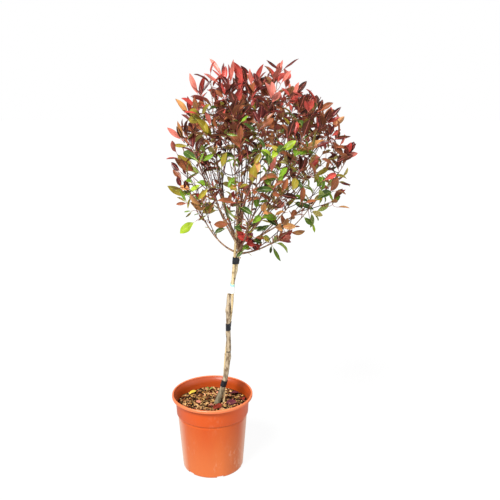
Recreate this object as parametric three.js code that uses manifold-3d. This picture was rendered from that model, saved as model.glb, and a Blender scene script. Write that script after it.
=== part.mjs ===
// A standard photinia on a clear stem, tied to a cane in a round nursery pot.
// Millimetres, +Z up, origin at the middle of the pot's flat underside.
import * as THREE from "three";
import { mergeVertices } from "three/addons/utils/BufferGeometryUtils.js";
import Module from "manifold-3d";

const wasm = await Module();
wasm.setup();

// Fit between pieces that touch
const SEAT_GAP = 0.3;
const CUT_GAP = 0.36;
const MERGE_DISTANCE = 1e-3;
const FINE_MERGE_DISTANCE = 1e-4;

// Pot
const POT_SIDES = 28;
const POT_HEIGHT = 232;
const RIM_RADIUS = 120;
const RIM_WIDTH = 5.4;
const RIM_DEPTH = 9;
const RIM_ROUNDING = 2.2;
const RIM_INNER_ROUNDING = 1.6;
const COLLAR_TOP_RADIUS = 109.4;
const COLLAR_FOOT_RADIUS = 107;
const COLLAR_DEPTH = 58.7;
const SHOULDER_RISE = 1.5;
const BODY_TOP_RADIUS = 103.7;
const BASE_RADIUS = 90.8;
const BASE_ROUNDING = 4.4;
const POT_WALL = 2.6;
const BASE_DISC_RADIUS = 60;
const SKIRT_WIDTH = 8;
const GROOVE_HEIGHT = 6;
const NOTCHES = 6;
const NOTCH_LENGTH = 24;
const NOTCH_WIDTH = 20;
const NOTCH_HEIGHT = 5;
const NOTCH_BEARING = -73.5;

// Bark compost
const COMPOST_TOP = 198;
const COMPOST_BUMP = 3.5;
const COMPOST_WAVES = [17, 29, 13, 37];
const COMPOST_RINGS = 4;
const STEM_SEAT = [23, 2];
const STEM_SEAT_RADIUS = 27;

// Trunk
const TRUNK_SIDES = 9;
const TRUNK_STEPS = 23;
const TRUNK_FOOT_RADIUS = 8;
const TRUNK_TOP_RADIUS = 4.6;
const FLARE = 2.2;
const FLARE_HEIGHT = 16;
const TRUNK_PATH = [
  [14, 0, COMPOST_TOP + SEAT_GAP],
  [38, -8, 277],
  [49.5, -8, 360],
  [49.5, -8, 440],
  [50, -6.5, 500],
  [53, 1, 540],
  [62, 5.5, 570],
  [76.5, 2, 640],
  [84.5, 0, 700],
];
const KNOTS = [
  { height: 348, bearing: 0, bulge: 1.6 },
  { height: 384, bearing: 180, bulge: 1 },
  { height: 424, bearing: 180, bulge: 1.5 },
  { height: 493, bearing: 180, bulge: 2.2 },
  { height: 607, bearing: 0, bulge: 1.4 },
];
const KNOT_HEIGHT = 9;

// Cane
const CANE_RADIUS = 4;
const CANE_SIDES = 7;
const CANE_STEPS = 12;
const CANE_PATH = [
  [33.5, 5, COMPOST_TOP + SEAT_GAP],
  [39.5, 5.5, 328],
  [49, 4, 416],
  [60.5, -1, 508],
  [62.5, -5, 543],
  [64.2, -6, 592],
  [68, -7, 640],
  [72.5, -9, 695],
  [83, -11, 805],
];

// Ties and label
const BAND_POINTS = 14;
const TIES = [
  { name: "tie_lower", middle: 265, height: 20, margin: 1.2 },
  { name: "tie_middle", middle: 443, height: 21, margin: 1.2 },
  { name: "tie_upper", middle: 640, height: 20, margin: 1.4 },
];
const LABEL = { name: "stem_label", middle: 557, height: 26, margin: 1.3 };
const LABEL_TAIL = [15, 1.6];

// Crown
const CROWN_CENTRE = new THREE.Vector3(144, 0, 935);
const CROWN_RADII = new THREE.Vector3(257, 250, 230);
const CROWN_POWER = 2.4;
const CROWN_SEED = 9;
const GOLDEN_ANGLE = THREE.MathUtils.degToRad(137.508);

// Whips: the long shoots that rise from the trunk's head
const WHIPS = 16;
const FIRST_BEARING = 56;
const LOWEST_WHIP = -28;
const WHIP_REACH = 0.82;
const STANDOUT = { 0: 0.22, 1: 0.2, 10: 0.1, 14: 0.05 };
const HEAD_TOP = 694;
const HEAD_DEPTH = 36;
const LAUNCH_TILT = [30, 82];
const FINISH_TILT = [2, 34];
const WHIP_PULL = [0.32, 0.4];
const JOINT_SHARE = 0.4;
const CANE_BEARING = 222;
const CANE_CLEAR = 42;
const BASAL_WHIPS = [
  { bearing: 6, foot: 657, tilt: 80, finish: 64, length: 124 },
];
const BASAL_EXTRA = 0.2;
const BOUGH_STEPS = 4;
const BOUGH_SIDES = 5;
const BOUGH_RADII = [2.7, 1.9];
const STEM_STEPS = 5;
const STEM_RADII = [1.9, 0.9];
const LEADER_RADIUS = 3.4;

// Shoots: side twigs that end at points spread over the crown and over an inner shell
const SHELLS = [
  { shoots: 88, reach: 0.87, lowest: -54, firstBearing: 345, leaves: 3 },
  { shoots: 12, reach: 0.5, lowest: -30, firstBearing: 80, leaves: 2 },
];
const SHOOT_SCATTER = 0.12;
const SHOOT_LENGTH = [80, 140];
const SHOOT_STARTS = 18;
const SHOOT_START_RANGE = [0.05, 0.9];
const SHOOT_STEPS = 2;
const SHOOT_LIFT = 0.9;
const SHOOT_RADII = [1.3, 0.8];
const SHOOT_SIDES = 3;
const NEAREST_SHOOT = 22;
const TIP_LEAVES = 6;

// Leaves
const LEAF_LENGTH = [48, 66];
const LEAF_WIDTH = 0.5;
const LEAF_WIDEST = 0.52;
const LEAF_THICKNESS = 1.2;
const LEAF_FOLD = 0.48;
const LEAF_BOW = 0.08;
const LEAF_SPREAD = [18, 64];
const LEAF_REACH = 1.04;
const LEAF_TRIES = 5;
const LEAF_RETRY_TURN = 1.9;
const LEAF_APART = 22;
const ROOT_SINK = 0.04;
const BARE_SHARE = 0.35;
const LEAF_CROWDING = 1.4;
const SPACE_MARGIN = 1.6;
const LIMB_MARGIN = 4.5;
const FOLIAGE_FLOOR = 560;

// Materials
const TERRACOTTA = new THREE.MeshStandardMaterial({ color: 0xe8703a, roughness: 0.5 });
const BARK_CHIPS = new THREE.MeshStandardMaterial({ color: 0x7a5236, roughness: 0.95 });
const BARK = new THREE.MeshStandardMaterial({ color: 0x9c8a70, roughness: 0.9 });
const BAMBOO = new THREE.MeshStandardMaterial({ color: 0xd9bd7c, roughness: 0.55 });
const BLACK_TAPE = new THREE.MeshStandardMaterial({ color: 0x1c1e22, roughness: 0.45 });
const WHITE_FILM = new THREE.MeshStandardMaterial({ color: 0xf4f6f5, roughness: 0.5 });
const TWIG_BARK = new THREE.MeshStandardMaterial({ color: 0x7a5650, roughness: 0.85 });
const FOLIAGE = new THREE.MeshStandardMaterial({ color: 0xa8483a, roughness: 0.5 });

const UP = new THREE.Vector3(0, 0, 1);
const FIRST_SIDE = new THREE.Vector3(1, 0.13, 0.07);

// Numbers between 0 and 1 that repeat on every run
function seeded(seed) {
  let state = Math.imul(seed + 1, 2654435761) >>> 0;
  return () => {
    state = (Math.imul(state, 1664525) + 1013904223) >>> 0;
    return state / 4294967296;
  };
}

function between([low, high], share) {
  return low + (high - low) * share;
}

function smooth(share) {
  const s = Math.min(Math.max(share, 0), 1);
  return s * s * (3 - 2 * s);
}

// Geometry to solid and back
function solidFrom(geometry, mergeDistance = FINE_MERGE_DISTANCE) {
  const bare = geometry.clone();
  bare.deleteAttribute("normal");
  bare.deleteAttribute("uv");
  const merged = mergeVertices(bare, mergeDistance);
  const vertProperties = new Float32Array(merged.attributes.position.array);
  const triVerts = new Uint32Array(merged.index.array);
  return new wasm.Manifold(new wasm.Mesh({ numProp: 3, vertProperties, triVerts }));
}

function geometryFrom(solid) {
  const mesh = solid.getMesh();
  const geometry = new THREE.BufferGeometry();
  geometry.setAttribute("position", new THREE.BufferAttribute(mesh.vertProperties, 3));
  geometry.setIndex(new THREE.BufferAttribute(mesh.triVerts, 1));
  return geometry;
}

// The largest body alone: scraps are dropped and sealed hollows are filled
function largestBody(solid) {
  return solid.decompose().reduce((a, b) => (b.volume() > a.volume() ? b : a));
}

// The largest body once corners closer than the merging distance have become one
function settledBody(solid) {
  const geometry = geometryFrom(largestBody(solid));
  return largestBody(solidFrom(geometry, MERGE_DISTANCE));
}

// A closed solid from rings of points, each ring the same way round
function loft(rings) {
  const count = rings[0].length;
  const positions = [];
  const faces = [];
  rings.forEach((ring) => ring.forEach((p) => positions.push(p.x, p.y, p.z)));
  for (let r = 0; r + 1 < rings.length; r += 1) {
    for (let i = 0; i < count; i += 1) {
      const j = (i + 1) % count;
      const a = r * count + i;
      const b = r * count + j;
      faces.push(a, b, b + count, a, b + count, a + count);
    }
  }
  const last = (rings.length - 1) * count;
  for (let i = 1; i + 1 < count; i += 1) {
    faces.push(0, i + 1, i);
    faces.push(last, last + i, last + i + 1);
  }
  const geometry = new THREE.BufferGeometry();
  geometry.setAttribute("position", new THREE.Float32BufferAttribute(positions, 3));
  geometry.setIndex(faces);
  return geometry;
}

// A place along a path, at a share of its steps
function pointAlong(points, share) {
  const at = share * (points.length - 1);
  const step = Math.min(Math.floor(at), points.length - 2);
  return points[step].clone().lerp(points[step + 1], at - step);
}

// Directions along a path, and a sideways direction carried along it without twist
function pathFrames(points) {
  const frames = [];
  points.forEach((point, i) => {
    const before = points[Math.max(i - 1, 0)];
    const after = points[Math.min(i + 1, points.length - 1)];
    const along = after.clone().sub(before).normalize();
    const carried = i ? frames[i - 1].side.clone() : FIRST_SIDE.clone();
    const side = carried.addScaledVector(along, -carried.dot(along)).normalize();
    frames.push({ point, along, side, turn: along.clone().cross(side) });
  });
  return frames;
}

// A limb round a path: radiusAt gives its radius at a share of the path and a bearing
function limb(points, sides, radiusAt, level = false) {
  const frames = pathFrames(points);
  return loft(
    frames.map(({ point, side, turn }, r) => {
      const across = level ? new THREE.Vector3(1, 0, 0) : side;
      const other = level ? new THREE.Vector3(0, 1, 0) : turn;
      return Array.from({ length: sides }, (_, i) => {
        const bearing = (i / sides) * 2 * Math.PI;
        const radius = radiusAt(r / (frames.length - 1), bearing);
        return point
          .clone()
          .addScaledVector(across, radius * Math.cos(bearing))
          .addScaledVector(other, radius * Math.sin(bearing));
      });
    }),
  );
}

// The pot's inner side from its floor to its collar, as radii and heights
function potInside(clearance) {
  const wall = POT_WALL + clearance;
  const shoulder = POT_HEIGHT - COLLAR_DEPTH;
  return [
    new THREE.Vector2(BASE_RADIUS - wall, GROOVE_HEIGHT + wall),
    new THREE.Vector2(BODY_TOP_RADIUS - wall, shoulder - SHOULDER_RISE),
    new THREE.Vector2(COLLAR_FOOT_RADIUS - wall, shoulder + 2 * SHOULDER_RISE),
  ];
}

function potProfile() {
  const skirt = BASE_RADIUS - SKIRT_WIDTH;
  const shoulder = POT_HEIGHT - COLLAR_DEPTH;
  const lip = POT_HEIGHT - RIM_DEPTH;
  const round = RIM_ROUNDING;
  const foot = BASE_RADIUS - BASE_ROUNDING;
  const corner = BASE_ROUNDING * Math.SQRT1_2;
  const mouth = RIM_RADIUS - RIM_WIDTH;
  const draft = SHOULDER_RISE / 2;
  return [
    new THREE.Vector2(0, 0),
    new THREE.Vector2(BASE_DISC_RADIUS, 0),
    new THREE.Vector2(BASE_DISC_RADIUS + draft, GROOVE_HEIGHT),
    new THREE.Vector2(skirt, GROOVE_HEIGHT),
    new THREE.Vector2(skirt + draft, 0),
    new THREE.Vector2(foot, 0),
    new THREE.Vector2(foot + corner, BASE_ROUNDING - corner),
    new THREE.Vector2(BASE_RADIUS, BASE_ROUNDING),
    new THREE.Vector2(BODY_TOP_RADIUS, shoulder),
    new THREE.Vector2(COLLAR_FOOT_RADIUS, shoulder + SHOULDER_RISE),
    new THREE.Vector2(COLLAR_TOP_RADIUS, lip),
    new THREE.Vector2(RIM_RADIUS - round, lip),
    new THREE.Vector2(RIM_RADIUS, lip + round),
    new THREE.Vector2(RIM_RADIUS, POT_HEIGHT - round),
    new THREE.Vector2(RIM_RADIUS - round, POT_HEIGHT),
    new THREE.Vector2(mouth + RIM_INNER_ROUNDING, POT_HEIGHT),
    new THREE.Vector2(mouth, POT_HEIGHT - RIM_INNER_ROUNDING),
    new THREE.Vector2(COLLAR_TOP_RADIUS - POT_WALL, lip),
    ...potInside(0).reverse(),
    new THREE.Vector2(BASE_DISC_RADIUS, GROOVE_HEIGHT + POT_WALL),
    new THREE.Vector2(BASE_DISC_RADIUS - POT_WALL, POT_WALL),
    new THREE.Vector2(0, POT_WALL),
  ];
}

function pot() {
  let body = solidFrom(new THREE.LatheGeometry(potProfile(), POT_SIDES).rotateX(Math.PI / 2));
  const notch = new THREE.BoxGeometry(NOTCH_LENGTH, NOTCH_WIDTH, 2 * NOTCH_HEIGHT);
  notch.translate(BASE_RADIUS, 0, 0);
  for (let i = 0; i < NOTCHES; i += 1) {
    const bearing = THREE.MathUtils.degToRad(NOTCH_BEARING + (i * 360) / NOTCHES);
    body = body.subtract(solidFrom(notch.clone().rotateZ(bearing)));
  }
  return geometryFrom(largestBody(body));
}

// Bark compost: its top is uneven, and level where the stems stand
function compostTop(x, y) {
  const fromStems = Math.hypot(x - STEM_SEAT[0], y - STEM_SEAT[1]);
  const rough = smooth(fromStems / STEM_SEAT_RADIUS - 1);
  const [a, b, c, d] = COMPOST_WAVES;
  const bumps = (Math.sin(x / a + y / b) + Math.cos(y / c - x / d)) / 2;
  return COMPOST_TOP + rough * COMPOST_BUMP * bumps;
}

function compost() {
  const inside = potInside(SEAT_GAP);
  const ringAt = (radius, heightAt) =>
    Array.from({ length: POT_SIDES }, (_, i) => {
      const bearing = (i / POT_SIDES) * 2 * Math.PI;
      const x = radius * Math.sin(bearing);
      const y = -radius * Math.cos(bearing);
      return new THREE.Vector3(x, y, heightAt(x, y));
    });
  const rings = [ringAt(BASE_DISC_RADIUS, () => inside[0].y)];
  inside.forEach((p) => rings.push(ringAt(p.x, () => p.y)));
  const edge = COLLAR_FOOT_RADIUS - POT_WALL - SEAT_GAP;
  for (let r = COMPOST_RINGS; r >= 1; r -= 1) {
    rings.push(ringAt((edge * r) / COMPOST_RINGS, compostTop));
  }
  return loft(rings);
}

// Trunk and cane
function curveThrough(path) {
  return new THREE.CatmullRomCurve3(path.map((p) => new THREE.Vector3(...p)));
}

const TRUNK_POINTS = curveThrough(TRUNK_PATH).getSpacedPoints(TRUNK_STEPS);
const CANE_POINTS = curveThrough(CANE_PATH).getSpacedPoints(CANE_STEPS);

// Where a path passes a given height
function pointAtHeight(points, height) {
  const next = Math.max(1, points.findIndex((p) => p.z >= height));
  const low = points[next - 1];
  const high = points[next];
  return low.clone().lerp(high, (height - low.z) / (high.z - low.z));
}

function trunkRadius(height, bearing) {
  const foot = COMPOST_TOP + SEAT_GAP;
  const top = TRUNK_PATH.at(-1)[2];
  const taper = between([TRUNK_FOOT_RADIUS, TRUNK_TOP_RADIUS], (height - foot) / (top - foot));
  const flare = FLARE * Math.exp(-(height - foot) / FLARE_HEIGHT);
  const knots = KNOTS.reduce((sum, knot) => {
    const off = (height - knot.height) / KNOT_HEIGHT;
    const facing = 0.5 + 0.5 * Math.cos(bearing - THREE.MathUtils.degToRad(knot.bearing));
    return sum + knot.bulge * Math.exp(-off * off) * facing;
  }, 0);
  return taper + flare + knots;
}

function trunk(extra = 0) {
  const radiusAt = (share, bearing) => {
    const step = Math.round(share * TRUNK_STEPS);
    return trunkRadius(TRUNK_POINTS[step].z, bearing) + extra;
  };
  return limb(TRUNK_POINTS, TRUNK_SIDES, radiusAt, true);
}

function cane(extra = 0) {
  return limb(CANE_POINTS, CANE_SIDES, () => CANE_RADIUS + extra, true);
}

// The outline round trunk and cane together at a level
function bandRing(level, margin) {
  const stems = [
    { at: pointAtHeight(TRUNK_POINTS, level), radius: trunkRadius(level, 0) + margin },
    { at: pointAtHeight(CANE_POINTS, level), radius: CANE_RADIUS + margin },
  ];
  return Array.from({ length: BAND_POINTS }, (_, i) => {
    const bearing = (i / BAND_POINTS) * 2 * Math.PI;
    const out = new THREE.Vector3(Math.cos(bearing), Math.sin(bearing), 0);
    const farOut = (stem) => stem.at.dot(out) + stem.radius;
    const outer = stems.reduce((a, b) => (farOut(b) > farOut(a) ? b : a));
    return outer.at.clone().addScaledVector(out, outer.radius);
  });
}

// A band round trunk and cane, cut clear of both, with a flat tail on the label
function band({ middle, height, margin }, tail) {
  const rings = [-0.5, 0, 0.5].map((share) => bandRing(middle + share * height, margin));
  let solid = solidFrom(loft(rings));
  if (tail) {
    const [length, thickness] = tail;
    const flap = new THREE.BoxGeometry(length, thickness, height);
    const left = rings[1].reduce((a, b) => (b.x < a.x ? b : a));
    flap.translate(left.x - length / 2 + 2 * margin, left.y, middle);
    solid = solid.add(solidFrom(flap));
  }
  const clear = solid.subtract(solidFrom(trunk(CUT_GAP))).subtract(solidFrom(cane(CUT_GAP)));
  return geometryFrom(largestBody(clear));
}

// How far out a place is: 0 at the crown's middle and 1 on its surface
function crownShare(place) {
  const off = place.clone().sub(CROWN_CENTRE).divide(CROWN_RADII);
  const level = Math.hypot(off.x, off.y);
  return (level ** CROWN_POWER + Math.abs(off.z) ** CROWN_POWER) ** (1 / CROWN_POWER);
}

// Place number index of count, spread evenly from the crown's top down to its lowest rise
function crownPlace(index, count, lowest, firstBearing, reach) {
  const low = (index + 0.5) / count;
  const sine = 1 - low * (1 - Math.sin(THREE.MathUtils.degToRad(lowest)));
  const cosine = Math.sqrt(1 - sine * sine);
  const bearing = THREE.MathUtils.degToRad(firstBearing) + index * GOLDEN_ANGLE;
  const out = new THREE.Vector3(cosine * Math.cos(bearing), cosine * Math.sin(bearing), sine);
  out.multiply(CROWN_RADII);
  const share = crownShare(out.clone().add(CROWN_CENTRE));
  return out.multiplyScalar(reach / share).add(CROWN_CENTRE);
}

// A whip from the trunk's head to the crown: a bare bough, then the stem of its foliage.
// The first whip is the leader, whose foliage starts on the trunk's tip.
function whip(index) {
  const low = (index + 0.5) / WHIPS;
  const extra = STANDOUT[index] || 0;
  const tip = crownPlace(index, WHIPS, LOWEST_WHIP, FIRST_BEARING, WHIP_REACH + extra);
  const leader = index === 0;
  const foot = leader
    ? TRUNK_POINTS.at(-1).clone()
    : pointAtHeight(TRUNK_POINTS, HEAD_TOP - low * HEAD_DEPTH);
  const outward = THREE.MathUtils.radToDeg(Math.atan2(tip.y - foot.y, tip.x - foot.x));
  const launch = leader ? UP : tilted(pastCane(outward), between(LAUNCH_TILT, low * low));
  const finish = tilted(outward, between(FINISH_TILT, low));
  const length = tip.distanceTo(foot);
  const curve = new THREE.CubicBezierCurve3(
    foot,
    foot.clone().addScaledVector(launch, WHIP_PULL[0] * length),
    tip.clone().addScaledVector(finish, -WHIP_PULL[1] * length),
    tip,
  );
  if (leader) return { index, extra, bough: null, stem: samples(curve, 0, 1, STEM_STEPS) };
  return {
    index,
    extra,
    bough: samples(curve, 0, JOINT_SHARE, BOUGH_STEPS),
    stem: samples(curve, JOINT_SHARE + SEAT_GAP / length, 1, STEM_STEPS),
  };
}

// A short whip low on the head, whose foliage starts at the trunk
function basalWhip({ bearing, foot, tilt, finish, length }, order) {
  const start = pointAtHeight(TRUNK_POINTS, foot);
  const middle = start.clone().addScaledVector(tilted(bearing, tilt), length / 2);
  const end = middle.clone().addScaledVector(tilted(bearing, finish), length / 2);
  const stem = samples(new THREE.QuadraticBezierCurve3(start, middle, end), 0, 1, STEM_STEPS);
  return { index: WHIPS + order, extra: BASAL_EXTRA, bough: null, stem };
}

// A bearing turned aside where it would run into the cane
function pastCane(bearing) {
  const off = ((bearing - CANE_BEARING + 540) % 360) - 180;
  return Math.abs(off) < CANE_CLEAR ? CANE_BEARING + Math.sign(off) * CANE_CLEAR : bearing;
}

function tilted(bearing, degrees) {
  const tilt = THREE.MathUtils.degToRad(degrees);
  const turn = THREE.MathUtils.degToRad(bearing);
  const across = Math.sin(tilt);
  return new THREE.Vector3(across * Math.cos(turn), across * Math.sin(turn), Math.cos(tilt));
}

function samples(curve, from, to, steps) {
  return Array.from({ length: steps + 1 }, (_, i) => curve.getPoint(between([from, to], i / steps)));
}

const CROWN = [
  ...Array.from({ length: WHIPS }, (_, index) => whip(index)),
  ...BASAL_WHIPS.map(basalWhip),
];

function bough({ bough: points }) {
  const solid = solidFrom(limb(points, BOUGH_SIDES, (share) => between(BOUGH_RADII, share)));
  return geometryFrom(largestBody(solid.subtract(solidFrom(trunk(CUT_GAP)))));
}

// The shortest distance from a point to a path
function pointToPath(point, path) {
  const segment = new THREE.Line3();
  const nearest = new THREE.Vector3();
  let least = Infinity;
  for (let i = 0; i + 1 < path.length; i += 1) {
    segment.set(path[i], path[i + 1]).closestPointToPoint(point, true, nearest);
    least = Math.min(least, nearest.distanceToSquared(point));
  }
  return Math.sqrt(least);
}

// The shortest distance between two straight lines, p to q and r to s
function lineToLine(p, q, r, s) {
  const d1 = q.clone().sub(p);
  const d2 = s.clone().sub(r);
  const offset = p.clone().sub(r);
  const a = d1.dot(d1);
  const e = d2.dot(d2);
  const f = d2.dot(offset);
  const b = d1.dot(d2);
  const c = d1.dot(offset);
  const denominator = a * e - b * b;
  const { clamp } = THREE.MathUtils;
  let along1 = denominator > 1e-9 ? clamp((b * f - c * e) / denominator, 0, 1) : 0;
  let along2 = (b * along1 + f) / e;
  if (along2 < 0 || along2 > 1) {
    along2 = clamp(along2, 0, 1);
    along1 = clamp((b * along2 - c) / a, 0, 1);
  }
  const on1 = p.clone().addScaledVector(d1, along1);
  const on2 = r.clone().addScaledVector(d2, along2);
  return on1.distanceTo(on2);
}

// Trunk, cane and boughs as straight lines, where foliage could meet them
function limbLines() {
  const lines = [];
  const add = (points, radius) => {
    const near = points.filter((p) => p.z > FOLIAGE_FLOOR);
    for (let i = 0; i + 1 < near.length; i += 1) {
      lines.push({ from: near[i], to: near[i + 1], radius });
    }
  };
  add(TRUNK_POINTS, TRUNK_FOOT_RADIUS);
  add(CANE_POINTS, CANE_RADIUS);
  CROWN.filter((w) => w.bough).forEach((w) => add(w.bough, BOUGH_RADII[0]));
  return lines;
}

const LIMB_LINES = limbLines();

function clearOfLimbs(from, to, margin) {
  return LIMB_LINES.every((line) => {
    const far = line.from.distanceTo(from) - from.distanceTo(to) - line.from.distanceTo(line.to);
    const room = line.radius + margin;
    return far > room || lineToLine(from, to, line.from, line.to) > room;
  });
}

function inOwnSpace(point, owner, margin, limit) {
  if (crownShare(point) > limit + owner.extra) return false;
  const own = pointToPath(point, owner.stem);
  return CROWN.every((w) => w === owner || pointToPath(point, w.stem) > own + 2 * margin);
}

// A direction leaning from along by a number of degrees, round it at a bearing
function leaning(frame, bearing, degrees) {
  const lean = THREE.MathUtils.degToRad(degrees);
  return frame.along
    .clone()
    .multiplyScalar(Math.cos(lean))
    .addScaledVector(frame.side, Math.sin(lean) * Math.cos(bearing))
    .addScaledVector(frame.turn, Math.sin(lean) * Math.sin(bearing));
}

// A side twig from its stem to a place in the crown, with about its own length between
function shoot(owner, place, random) {
  const wanted = between(SHOOT_LENGTH, random());
  const starts = Array.from({ length: SHOOT_STARTS }, (_, i) =>
    pointAlong(owner.stem, between(SHOOT_START_RANGE, i / (SHOOT_STARTS - 1))),
  );
  const miss = (point) => Math.abs(point.distanceTo(place) - wanted);
  const start = starts.reduce((a, b) => (miss(b) < miss(a) ? b : a));
  const length = start.distanceTo(place);
  const outward = place.clone().sub(CROWN_CENTRE).normalize();
  const finish = outward.addScaledVector(UP, SHOOT_LIFT).normalize();
  const bend = place.clone().addScaledVector(finish, -length / 2);
  const curve = new THREE.QuadraticBezierCurve3(start, bend, place);
  const points = [start];
  for (const next of curve.getPoints(SHOOT_STEPS).slice(1)) {
    const inside = inOwnSpace(next, owner, SPACE_MARGIN + SHOOT_RADII[0], 1);
    if (!inside || !clearOfLimbs(points.at(-1), next, LIMB_MARGIN / 2)) break;
    points.push(next);
  }
  return points;
}

// The places where shoots end, given to the whip whose stem is nearest
function shootPlaces() {
  const random = seeded(CROWN_SEED);
  const places = [];
  SHELLS.forEach(({ shoots, reach, lowest, firstBearing, leaves }) => {
    for (let i = 0; i < shoots; i += 1) {
      const scatter = 1 + SHOOT_SCATTER * (random() - 0.5);
      const place = crownPlace(i, shoots, lowest, firstBearing, reach * scatter);
      const nearness = CROWN.map((w) => pointToPath(place, w.stem));
      const least = Math.min(...nearness);
      if (least < NEAREST_SHOOT) continue;
      places.push({ place, leaves, owner: nearness.indexOf(least) });
    }
  });
  return places;
}

// A leaf blade's corners: it is folded up at its sides and bowed along its midrib
function leafShape(root, direction, upper, length) {
  const across = direction.clone().cross(upper).normalize();
  const face = across.clone().cross(direction);
  const middle = root.clone().addScaledVector(direction, LEAF_WIDEST * length);
  const half = (LEAF_WIDTH * length) / 2;
  const raised = middle.clone().addScaledVector(face, LEAF_FOLD * half);
  return {
    root,
    tip: root.clone().addScaledVector(direction, length).addScaledVector(face, -LEAF_BOW * length),
    left: raised.clone().addScaledVector(across, -half),
    right: raised.clone().addScaledVector(across, half),
    top: middle.clone().addScaledVector(face, LEAF_THICKNESS / 2),
    bottom: middle.clone().addScaledVector(face, -LEAF_THICKNESS / 2),
  };
}

function leafFits(leaf, owner) {
  const { root, tip, left, right, top } = leaf;
  const rim = [left, tip, right, top];
  const halfway = (a, b) => a.clone().lerp(b, 0.5);
  const checked = [...rim, halfway(left, tip), halfway(right, tip), halfway(top, tip)];
  checked.push(halfway(root, left), halfway(root, right), halfway(root, top));
  if (!checked.every((p) => inOwnSpace(p, owner, SPACE_MARGIN, LEAF_REACH))) return false;
  const lines = [
    [root, tip],
    [root, left],
    [root, right],
    [left, tip],
    [right, tip],
    [left, right],
  ];
  return lines.every(([a, b]) => clearOfLimbs(a, b, LIMB_MARGIN));
}

function leafSolid({ root, tip, left, right, top, bottom }) {
  const corners = [root, left, tip, right, top, bottom];
  const positions = corners.flatMap((p) => [p.x, p.y, p.z]);
  const faces = [];
  for (let i = 0; i < 4; i += 1) {
    const next = (i + 1) % 4;
    faces.push(next, i, 4, i, next, 5);
  }
  const geometry = new THREE.BufferGeometry();
  geometry.setAttribute("position", new THREE.Float32BufferAttribute(positions, 3));
  geometry.setIndex(faces);
  return solidFrom(geometry);
}

// Leaves in a spiral along a shoot, closest together and most upright at its tip
function growLeaves(owner, points, count, random, grown) {
  const frames = pathFrames(points);
  const firstBearing = 2 * Math.PI * random();
  for (let i = 0; i < count; i += 1) {
    const back = between([ROOT_SINK, 1 - BARE_SHARE], (i / count) ** LEAF_CROWDING);
    const root = pointAlong(points, 1 - back);
    const frame = frames[Math.ceil((1 - back) * (points.length - 1))];
    const size = between(LEAF_LENGTH, random());
    const spread = between(LEAF_SPREAD, Math.min(1, (i + random()) / count));
    const bearing = firstBearing + i * GOLDEN_ANGLE;
    for (let attempt = 0; attempt < LEAF_TRIES; attempt += 1) {
      const direction = leaning(frame, bearing + attempt * LEAF_RETRY_TURN, spread);
      const upper = frame.along.clone().addScaledVector(direction, -frame.along.dot(direction));
      const leaf = leafShape(root, direction, upper, size);
      const apart = grown.every((other) => other.top.distanceTo(leaf.top) > LEAF_APART);
      if (apart && leafFits(leaf, owner)) {
        grown.push(leaf);
        break;
      }
    }
  }
}

const PLACES = shootPlaces();

// One mass of foliage: its stem, side twigs and leaves, joined
function mass(owner) {
  const random = seeded(100 * CROWN_SEED + owner.index);
  const radii = owner.index ? STEM_RADII : [LEADER_RADIUS, STEM_RADII[1]];
  let solid = solidFrom(limb(owner.stem, SHOOT_SIDES, (share) => between(radii, share)));
  const twigs = [{ points: owner.stem, leaves: TIP_LEAVES }];
  PLACES.filter(({ owner: index }) => CROWN[index] === owner).forEach(({ place, leaves }) => {
    const points = shoot(owner, place, random);
    if (points.length < 2) return;
    solid = solid.add(solidFrom(limb(points, SHOOT_SIDES, (s) => between(SHOOT_RADII, s))));
    twigs.push({ points, leaves });
  });
  const grown = [];
  twigs.forEach(({ points, leaves }) => growLeaves(owner, points, leaves, random, grown));
  grown.forEach((leaf) => {
    solid = solid.add(leafSolid(leaf));
  });
  if (!owner.bough) solid = solid.subtract(solidFrom(trunk(CUT_GAP)));
  return geometryFrom(settledBody(solid));
}

// Assembly
const plant = new THREE.Group();

function addPiece(name, geometry, material) {
  const mesh = new THREE.Mesh(geometry, material);
  mesh.name = name;
  plant.add(mesh);
}

const numbered = (kind, whipNumber) => kind + String(whipNumber).padStart(2, "0");

addPiece("pot", pot(), TERRACOTTA);
addPiece("growing_medium", compost(), BARK_CHIPS);
addPiece("trunk", trunk(), BARK);
addPiece("bamboo_cane", cane(), BAMBOO);
TIES.forEach((tie) => addPiece(tie.name, band(tie), BLACK_TAPE));
addPiece(LABEL.name, band(LABEL, LABEL_TAIL), WHITE_FILM);
CROWN.filter((w) => w.bough).forEach((w) => addPiece(numbered("bough_", w.index), bough(w), TWIG_BARK));
CROWN.forEach((w) => addPiece(numbered("foliage_", w.index), mass(w), FOLIAGE));

export default plant;
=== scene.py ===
import math
from collections import namedtuple

import bpy
import numpy as np
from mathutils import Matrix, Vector, kdtree, noise


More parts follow.
